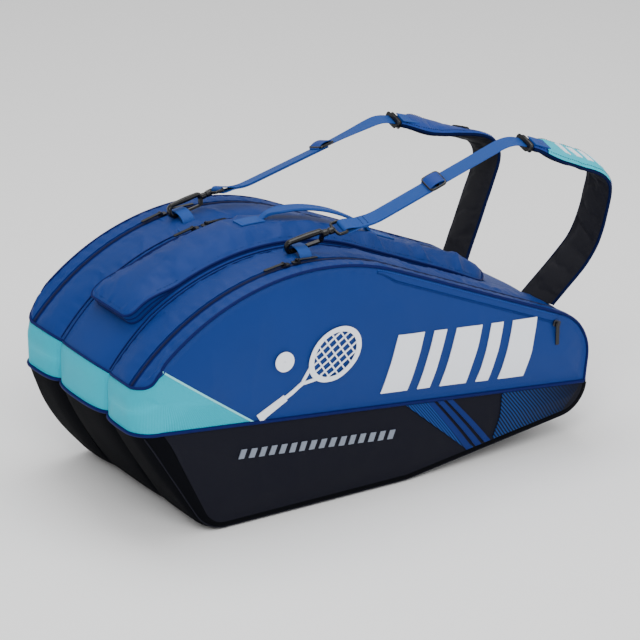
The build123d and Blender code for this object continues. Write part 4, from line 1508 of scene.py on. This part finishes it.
def make_adjuster(name, path, up):
    """Ladder-lock buckle with the webbing humped over its middle bar."""
    body = f"{name}_strap_adjuster"
    at = in_plane(name, STRAPS[name]["adjuster"])
    i = int(np.argmin(np.linalg.norm(path - at, axis=1)))
    across = AXES[name][3]
    forward = heading(path, i)
    lift = up[i]
    centre = path[i] + lift * 0.0030
    ring = squared_ring(centre, forward * ADJUSTER_HALF[0], across * ADJUSTER_HALF[1], 64, (0.32, 0.32), 2)
    frame_bar = loft(f"adjuster_frame_{name}", ring, lift, flat_section(0.0042, 0.0036, 5), "plastic")
    place(frame_bar, body, "plastic_black", f"adjuster_{name}")
    line = centre + across * np.linspace(-HUMP_HALF, HUMP_HALF, 6)[:, None]
    bar = loft(f"adjuster_bar_{name}", line, lift, flat_section(0.0046, 0.0034, 5), "plastic")
    place(bar, body, "plastic_black")
    t = np.linspace(-1, 1, 40)[:, None]
    hump = HUMP_RISE * np.clip(1 - np.abs(t) ** 2.6, 0, 1) - HUMP_SINK
    line = centre + forward * t * HUMP_HALF + lift * hump
    guide = across_guide(name, line)
    # The webbing over the bar takes the darker pad cloth instead of the webbing's own colour: painted shade
    # on the hump.
    cover = band(f"adjuster_webbing_{name}", line, guide, WEBBING_WIDTH, 0.0019, "pad_blue")
    place(cover, body, "webbing_blue")


def pad_section():
    """Cushioned band: crowned on both sides, with a firm bound edge."""
    x = np.linspace(-1, 1, 16)
    crown = (1 - np.abs(x) ** 3.2) ** 0.7
    upper = np.column_stack([x * PAD_WIDTH / 2, PAD * (0.14 + 0.40 * crown)])
    lower = np.column_stack([x * PAD_WIDTH / 2, -PAD * (0.14 + 0.34 * crown)])
    return {"top": upper, "under": lower[::-1]}


def meet_bag(grid, path, run):
    """Lengthen each line of the pad so that its foot lands on the bag's cloth."""
    end = grid[-1]
    ground = skin(s_top(end[:, 0]), end[:, 1])[:, 2] + 0.001
    down = unit(path[-1] - path[-4])
    extra = (ground - end[:, 2]) / down[2]
    share = smooth(1 - (run[-1] - run) / 0.07)
    return grid + share[:, None, None] * extra[None, :, None] * down


def pad_grids(name, path, up, run):
    """Upper and under cloth of a pad, settled together as one closed tube."""
    across = unit(np.cross(np.gradient(path, axis=0), up))
    across *= np.sign((across @ AXES[name][3]).mean())
    taper = (0.42 + 0.58 * smooth(run / 0.050))[:, None, None]
    path = path + up * crumple(path, 0.05, 0.0010, 41)[:, None]
    grids = []
    for label, section in pad_section().items():
        grid = path[:, None] + across[:, None] * (section[:, :1] * taper) + up[:, None] * section[:, 1:]
        if label == "under":
            channels = 0.0003 * np.cos(2 * pi * run / 0.034)[:, None]
            ribs = channels * (1 - np.abs(section[:, 0] / (PAD_WIDTH / 2)) ** 4) + 0.0002
            grid = grid - up[:, None] * ribs[..., None] * 1.2
        grid = grid + up[:, None] * crumple(grid, 0.028, 0.0007, 43)[..., None]
        grids.append(meet_bag(grid, path, run))
    columns = grids[0].shape[1]
    tube = np.concatenate(grids, axis=1)
    held = np.zeros(tube.shape[:2], bool)
    held[:3] = held[-8:] = True
    held[:, [0, columns - 1, columns, -1]] = True
    faces = quads(*tube.shape[:2], 0, True)[:, ::-1]
    tube = settled(tube.reshape(-1, 3), faces, held.ravel(), 0.030, 0.0022).reshape(tube.shape)
    return path, tube[:, :columns], tube[:, columns:]


def make_pad(name):
    """Padded strap: cloth in coloured lengths, its underside, the bound edges, stitches and print."""
    strap = STRAPS[name]
    route = smoothed(resample(rounded_route(strap["pad"], strap["pad_radii"]), 150), 60)
    path = in_plane(name, route)
    run = along(path)
    up = rolled(name, across_guide(name, path), strap["roll"] * (1 - smooth(run / 0.16)))
    path, top, under = pad_grids(name, path, up, run)
    low, high = strap["bright"] or (0.0, 0.0)
    lengths = [("long", high, run[-1], "pad_blue")]
    if strap["bright"]:
        lengths += [("bright", low, high, "pad_top"), ("tip", 0.0, low, "pad_blue")]
    pieces = []
    for label, start, end, kind in lengths:
        grid = top[(run >= start - 0.004) & (run <= end + 0.001)]
        pieces.append(shell(f"pad_{label}_{name}", grid[:, ::-1], PAD_CLOTH, kind))
    pieces.append(shell(f"pad_under_{name}", under[:, ::-1], PAD_CLOTH, "pad_under"))
    for label, k in (("left", 0), ("right", -1)):
        edge = (top[:, k] + under[:, -1 - k]) / 2
        pieces.append(loft(f"pad_binding_{label}_{name}", edge, up, flat_section(0.0034, 0.0050), "binding"))
    foot = in_plane(name, strap["pad"][-1])
    bend = [tuple(foot + AXES[name][2] * height) for height in PAD_BEND]
    nodes = [f"pad_{name}"] + (["pad_feet"] if name == "front" else [])
    for piece in pieces:
        join_bodies(piece, f"{name}_strap", *bend, "fabric_black", *(nodes if piece is pieces[0] else []))
    if strap["bright"]:
        make_pad_print(name, top, run, low, high)
    rows = np.arange(3, len(run) - 10)
    last = top.shape[1] - 1
    for k, column in enumerate((EDGE_STITCH, last - EDGE_STITCH)):
        line = spots(top, rows, column) + up[rows] * 0.0005
        label = f"pad_edge_stitch_{name}_{k}"
        stitches(label, line, up[rows], "dark_thread", f"{name}_strap", "fabric_black")
    for k, back in enumerate(FOOT_STITCHES):
        row = np.interp(run[-1] - back, run, np.arange(len(run)))
        line = spots(top, row, np.linspace(2, last - 2, 24)) + up[-1] * 0.0006
        stitches(f"pad_foot_stitch_{name}_{k}", line, up[-1], "thread", "root", "fabric_black")
    return path, up, run


def make_pad_print(name, grid, run, low, high):
    """Plain slanting bars printed across the bright part of the pad."""
    length = high - low
    u = np.linspace(0, 1, 6)[:, None]
    v = np.linspace(0.30, 0.70, 10)[::-1]
    for k in range(4):
        start = low + length * (0.24 + 0.18 * k)
        at = start + length * 0.09 * u + length * 0.10 * (v - 0.30)
        patch = spots(grid, np.interp(at, run, np.arange(len(run))), v * (grid.shape[1] - 1))
        patch = patch + grid_normals(patch) * 0.0010
        bar = shell(f"pad_print_{name}_{k}", patch, 0.0012, "white")
        place(bar, f"{name}_strap", "fabric_black")


def make_keeper(name, path, up, at, width):
    """Moulded ring that holds the webbing where it enters the pad."""
    i = int(np.searchsorted(along(path), at))
    forward = heading(path, i)
    across = np.cross(forward, up[i])
    ring = squared_ring(path[i], across * width / 2, up[i] * KEEPER_HALF_RISE, 40, (0.3, 0.5), 1)
    keeper = loft(f"keeper_{name}_{int(at * 1000)}", ring, forward, flat_section(0.0018, 0.0075), "plastic")
    place(keeper, f"{name}_strap", "plastic_black")


# Snap hook, in its own plane: the bow's middle line, the mouth closed by the gate, the neck and the eye.
HOOK_LINE = (
    (0.0372, 0.0002),
    (0.0400, 0.0100),
    (0.0385, 0.0167),
    (-0.0175, 0.0167),
    (-0.0175, 0.0),
    (0.0132, 0.0),
)
HOOK_RADII = (0.0045, 0.0030, 0.0078, 0.0070)
HOOK_NECK = (0.0400, 0.0600, 0.0110)
HOOK_EYE = (0.0670, 0.0110)
HOOK_EYE_HALF = (0.00775, 0.01475)


def make_hook(name):
    """Moulded snap hook with a swivelling eye; its gate is the model's own."""
    hook, run, away, across = AXES[name]
    body = f"{name}_strap"
    a = radians(STRAPS[name]["hook_turn"])
    forward = run * cos(a) + away * sin(a)
    upward = away * cos(a) - run * sin(a)

    def at(x, y):
        return hook + np.multiply.outer(x, forward) + np.multiply.outer(y, upward)

    bow = resample(rounded_route(HOOK_LINE, HOOK_RADII), 70)
    t = np.linspace(0, 1, 70)
    spine = np.exp(-(((t - 0.36) / 0.22) ** 2))
    size = np.column_stack([0.86 + 0.42 * spine - 0.12 * smooth((t - 0.9) / 0.1), 0.90 + 0.12 * spine])
    piece = loft(f"hook_bow_{name}", at(*bow.T), across, oval_section(0.0031, 0.0046), "plastic", size)
    place(piece, body, "plastic_black", f"hook_{name}")
    u = np.linspace(0, 1, 28)
    waist = 1 - 0.34 * np.exp(-(((u - 0.46) / 0.05) ** 2)) - 0.20 * smooth((u - 0.85) / 0.15)
    size = np.column_stack([waist, waist])
    neck = at(np.linspace(HOOK_NECK[0], HOOK_NECK[1], 28), np.full(28, HOOK_NECK[2]))
    piece = loft(f"hook_neck_{name}", neck, upward, oval_section(0.0056, 0.0046, 0.8), "plastic", size)
    place(piece, body, "plastic_black")
    half_along, half_across = HOOK_EYE_HALF
    eye = squared_ring(at(*HOOK_EYE), forward * half_along, across * half_across, 56, (0.42, 0.42), 2)
    piece = loft(f"hook_eye_{name}", eye, upward, oval_section(0.0020, 0.0023, 0.75, 12), "plastic")
    place(piece, body, "plastic_black")


def make_straps():
    for name in SIDES:
        make_hook(name)
        path, up = make_webbing(name)
        pad_path, pad_up, run = make_pad(name)
        make_adjuster(name, path, up)
        make_keeper(name, path, up, along(path)[-1] - 0.010, WEBBING_WIDTH + 0.006)
        if name == "back":
            make_keeper(name, pad_path + pad_up * 0.0035, pad_up, 0.118, WEBBING_WIDTH + 0.008)
        patch = np.linspace(0, 0.030, 24)
        line, lift = (
            np.stack([np.interp(patch, run, block[:, k]) for k in range(3)], 1)
            for block in (pad_path + pad_up * 0.0072, pad_up)
        )
        tab = band(f"pad_tab_{name}", resample(line, 24), lift, WEBBING_WIDTH, WEBBING, "webbing")
        place(tab, f"{name}_strap", "webbing_blue")


# ---- Hook loops and their sewn patches ----
LOOP_SPAN = 0.046
LOOP_RISE = 0.0155
LOOP_WIDTH = 0.020
LOOP_SINK = 0.0015
PATCH_HALF = 0.024
PATCH_STITCH = 0.0022        # in from the patch's ends


def make_loops():
    a = np.linspace(0, pi, 40)
    lift = LOOP_RISE * np.sin(a) ** 0.8 - LOOP_SINK
    for name, side in SIDES.items():
        x = STRAPS[name]["hook_x"]
        base, normal = top_point(x, 0, 0)
        path = base + normal * lift[:, None]
        path[:, 1] = side * STRAP_HOOK_Y + LOOP_SPAN / 2 * np.cos(a)
        up = unit(np.cross(np.gradient(path, axis=0), np.cross(ACROSS, normal)))
        loop = band(f"hook_loop_{name}", path, up, LOOP_WIDTH, WEBBING, "webbing")
        place(loop, "root", "webbing_blue", *(["hook_loops"] if side < 0 else []))
        s = np.linspace(s_top(x) - PATCH_HALF, s_top(x) + PATCH_HALF, 16)
        y = np.sort(np.linspace(HALF_CORE + 0.004, ZIP_Y - ZIP_HALF - 0.001, 20) * side)
        patch = shell(f"loop_patch_{name}", skin(s[:, None], y, 0.0010), 0.0014, "blue")
        place(patch, "root", "fabric_blue")
        for k, end in enumerate((s[0] + PATCH_STITCH, s[-1] - PATCH_STITCH)):
            row = skin(end, y, 0.0012)
            stitches(f"loop_stitch_{name}_{k}", row, UPRIGHT, "thread", "root", "fabric_blue")


# ---- Carrying handle on the lid ----
HANDLE_ENDS = (-0.080, 0.092)
HANDLE_FOOT = 0.007
HANDLE_TOP = 0.019
HANDLE_WIDTH = 0.026
HANDLE_GRIP = 0.0036
HANDLE_TAB = (0.004, 0.042)  # from the handle's end outwards
HANDLE_TAB_LIFT = 0.0034
HANDLE_NARROW = 0.42         # share of its width at the ends


def make_handle():
    x = np.linspace(*HANDLE_ENDS, 60)
    share = (x - HANDLE_ENDS[0]) / (HANDLE_ENDS[1] - HANDLE_ENDS[0])
    rise = HANDLE_FOOT + (HANDLE_TOP - HANDLE_FOOT) * np.sin(pi * share) ** 0.55
    path, up = top_point(x, HANDLE_Y, LID_RISE + rise)
    narrow = HANDLE_NARROW + (1 - HANDLE_NARROW) * smooth(np.minimum(share, 1 - share) / 0.16)
    size = np.column_stack([narrow, 1 + 0.5 * (1 - narrow)])
    grip = loft("handle_grip", path, up, band_section(HANDLE_WIDTH, HANDLE_GRIP, 0.0009), "webbing", size)
    place(grip, "carry_handle", "webbing_blue", "grab_handle")
    reach = np.outer(narrow, ACROSS) * (HANDLE_WIDTH / 2 - 0.003)
    for label, sign in (("left", -1), ("right", 1)):
        edge = path + sign * reach + up * 0.0019
        stitches(f"handle_stitch_{label}", edge[8:-8], up[8:-8], "thread", "carry_handle", "webbing_blue")
    make_handle_end(0, HANDLE_ENDS[0], -1)
    make_handle_end(1, HANDLE_ENDS[1], 1)


def make_handle_end(k, end, outward):
    """Sewn tab on the lid and the short fold that rises from it into the handle."""
    run_x = end + outward * np.linspace(*HANDLE_TAB, 14)
    flat, lift = top_point(run_x, HANDLE_Y, LID_RISE + HANDLE_TAB_LIFT)
    tab = band(f"handle_tab_{k}", flat, lift, HANDLE_WIDTH, 0.0022, "webbing")
    place(tab, "middle_lid", "webbing_blue", *(["handle_tabs"] if k == 0 else []))
    reach = np.outer(np.linspace(-0.011, 0.011, 14), ACROSS)
    for i in (2, 11):
        row = flat[i] + reach + lift[i] * 0.0013
        stitches(f"handle_tab_stitch_{k}_{i}", row, lift[i], "thread", "middle_lid", "webbing_blue")
    foot_x = end + outward * np.linspace(0.006, 0.0, 8)
    rise = LID_RISE + 0.003 + (HANDLE_FOOT - 0.003) * smooth(np.linspace(0, 1, 8))
    neck, guide = top_point(foot_x, HANDLE_Y, rise)
    guide = guide + (outward * 0.5, 0, 0)
    fold = band(f"handle_fold_{k}", neck, guide, HANDLE_WIDTH * HANDLE_NARROW, 0.0034, "webbing")
    place(fold, "middle_lid", "webbing_blue")


# ---- Hardware that keeps its shape from the model: finish and softened edges ----
LARGE_EDGE = 0.0012
SMALL_EDGE = 0.0004
FINISHES = {
    "hook_": "plastic",
    "gate_": "plastic",
    "adjuster_": "plastic",
    "slider_": "metal",
    "pull_": "plastic",
}


def finish_hardware():
    for node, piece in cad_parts.items():
        if piece.hide_render:
            continue
        kind = next((look for prefix, look in FINISHES.items() if node.startswith(prefix)), "board")
        piece.data.materials.clear()
        piece.data.materials.append(MAT[kind])
        if kind == "board":
            continue
        rounding = piece.modifiers.new("rounded_edges", "BEVEL")
        rounding.width = LARGE_EDGE if node.startswith(("hook_", "adjuster_")) else SMALL_EDGE
        rounding.segments = 3
        rounding.limit_method = "ANGLE"
        rounding.angle_limit = radians(35)
        rounding.harden_normals = True
        piece.data.shade_smooth()


# ---- Studio ----
AZIMUTH = 32.0
ELEVATION = 22.0
CAMERA_DISTANCE = 4.42
LOOK_AT = (-0.115, -0.177, 0.224)
SENSOR_WIDTH = 36.0
FOCAL_LENGTH = 174.684
LENS_SHIFT = (0.021875, 0.06875)
PAPER = (0.96, 0.96, 0.96, 1)
FLOOR_REACH = 12.0
AIM = Vector((0, 0, 0.18))
LAMPS = (  # name, place, size and power
    ("key", (-1.6, -2.4, 2.6), 1.8, 80.0),
    ("fill", (2.6, -2.0, 1.6), 2.4, 28.0),
    ("top", (0.2, 0.6, 3.2), 2.2, 56.0),
)


def add_object(name, data):
    thing = bpy.data.objects.new(name, data)
    bpy.context.scene.collection.objects.link(thing)
    return thing


def make_camera():
    a, e = radians(AZIMUTH), radians(ELEVATION)
    back = Vector((-sin(a) * cos(e), -cos(a) * cos(e), sin(e)))
    lens = bpy.data.cameras.new("camera")
    lens.sensor_width = SENSOR_WIDTH
    lens.lens = FOCAL_LENGTH
    lens.shift_x, lens.shift_y = LENS_SHIFT
    lens.clip_end = 100.0
    camera = add_object("camera", lens)
    camera.location = Vector(LOOK_AT) + back * CAMERA_DISTANCE
    camera.rotation_euler = back.to_track_quat("Z", "Y").to_euler()
    bpy.context.scene.camera = camera


def make_studio():
    world = bpy.data.worlds.new("studio")
    world.use_nodes = True
    background = world.node_tree.nodes["Background"]
    background.inputs["Color"].default_value = (1, 1, 1, 1)
    background.inputs["Strength"].default_value = 0.7
    bpy.context.scene.world = world

    floor_mesh = bpy.data.meshes.new("floor")
    corners = [(x * FLOOR_REACH, y * FLOOR_REACH, 0) for x, y in ((-1, -1), (1, -1), (1, 1), (-1, 1))]
    floor_mesh.from_pydata(corners, [], [(0, 1, 2, 3)])
    floor = add_object("floor", floor_mesh)
    floor.location.z = -0.001
    paper = start_material("paper_floor", PAPER, 0.9, 0.1)
    vary_colour(paper.node_tree, PAPER, 0.01, 2.0)
    floor_mesh.materials.append(paper)

    for name, where, size, power in LAMPS:
        light = bpy.data.lights.new(name, "AREA")
        light.size = size
        light.energy = power
        lamp = add_object(name, light)
        lamp.location = where
        lamp.rotation_euler = (Vector(where) - AIM).to_track_quat("Z", "Y").to_euler()


make_wraps()
make_stern()
make_underside()
make_lower_panels()
make_faces()
make_top()
make_nose_gussets()
make_middle()
make_lid()
make_zips()
make_pipings()
make_dividers()
make_mark()
make_inserts()
make_pocket()
make_straps()
make_loops()
make_handle()
finish_hardware()
make_camera()
make_studio()
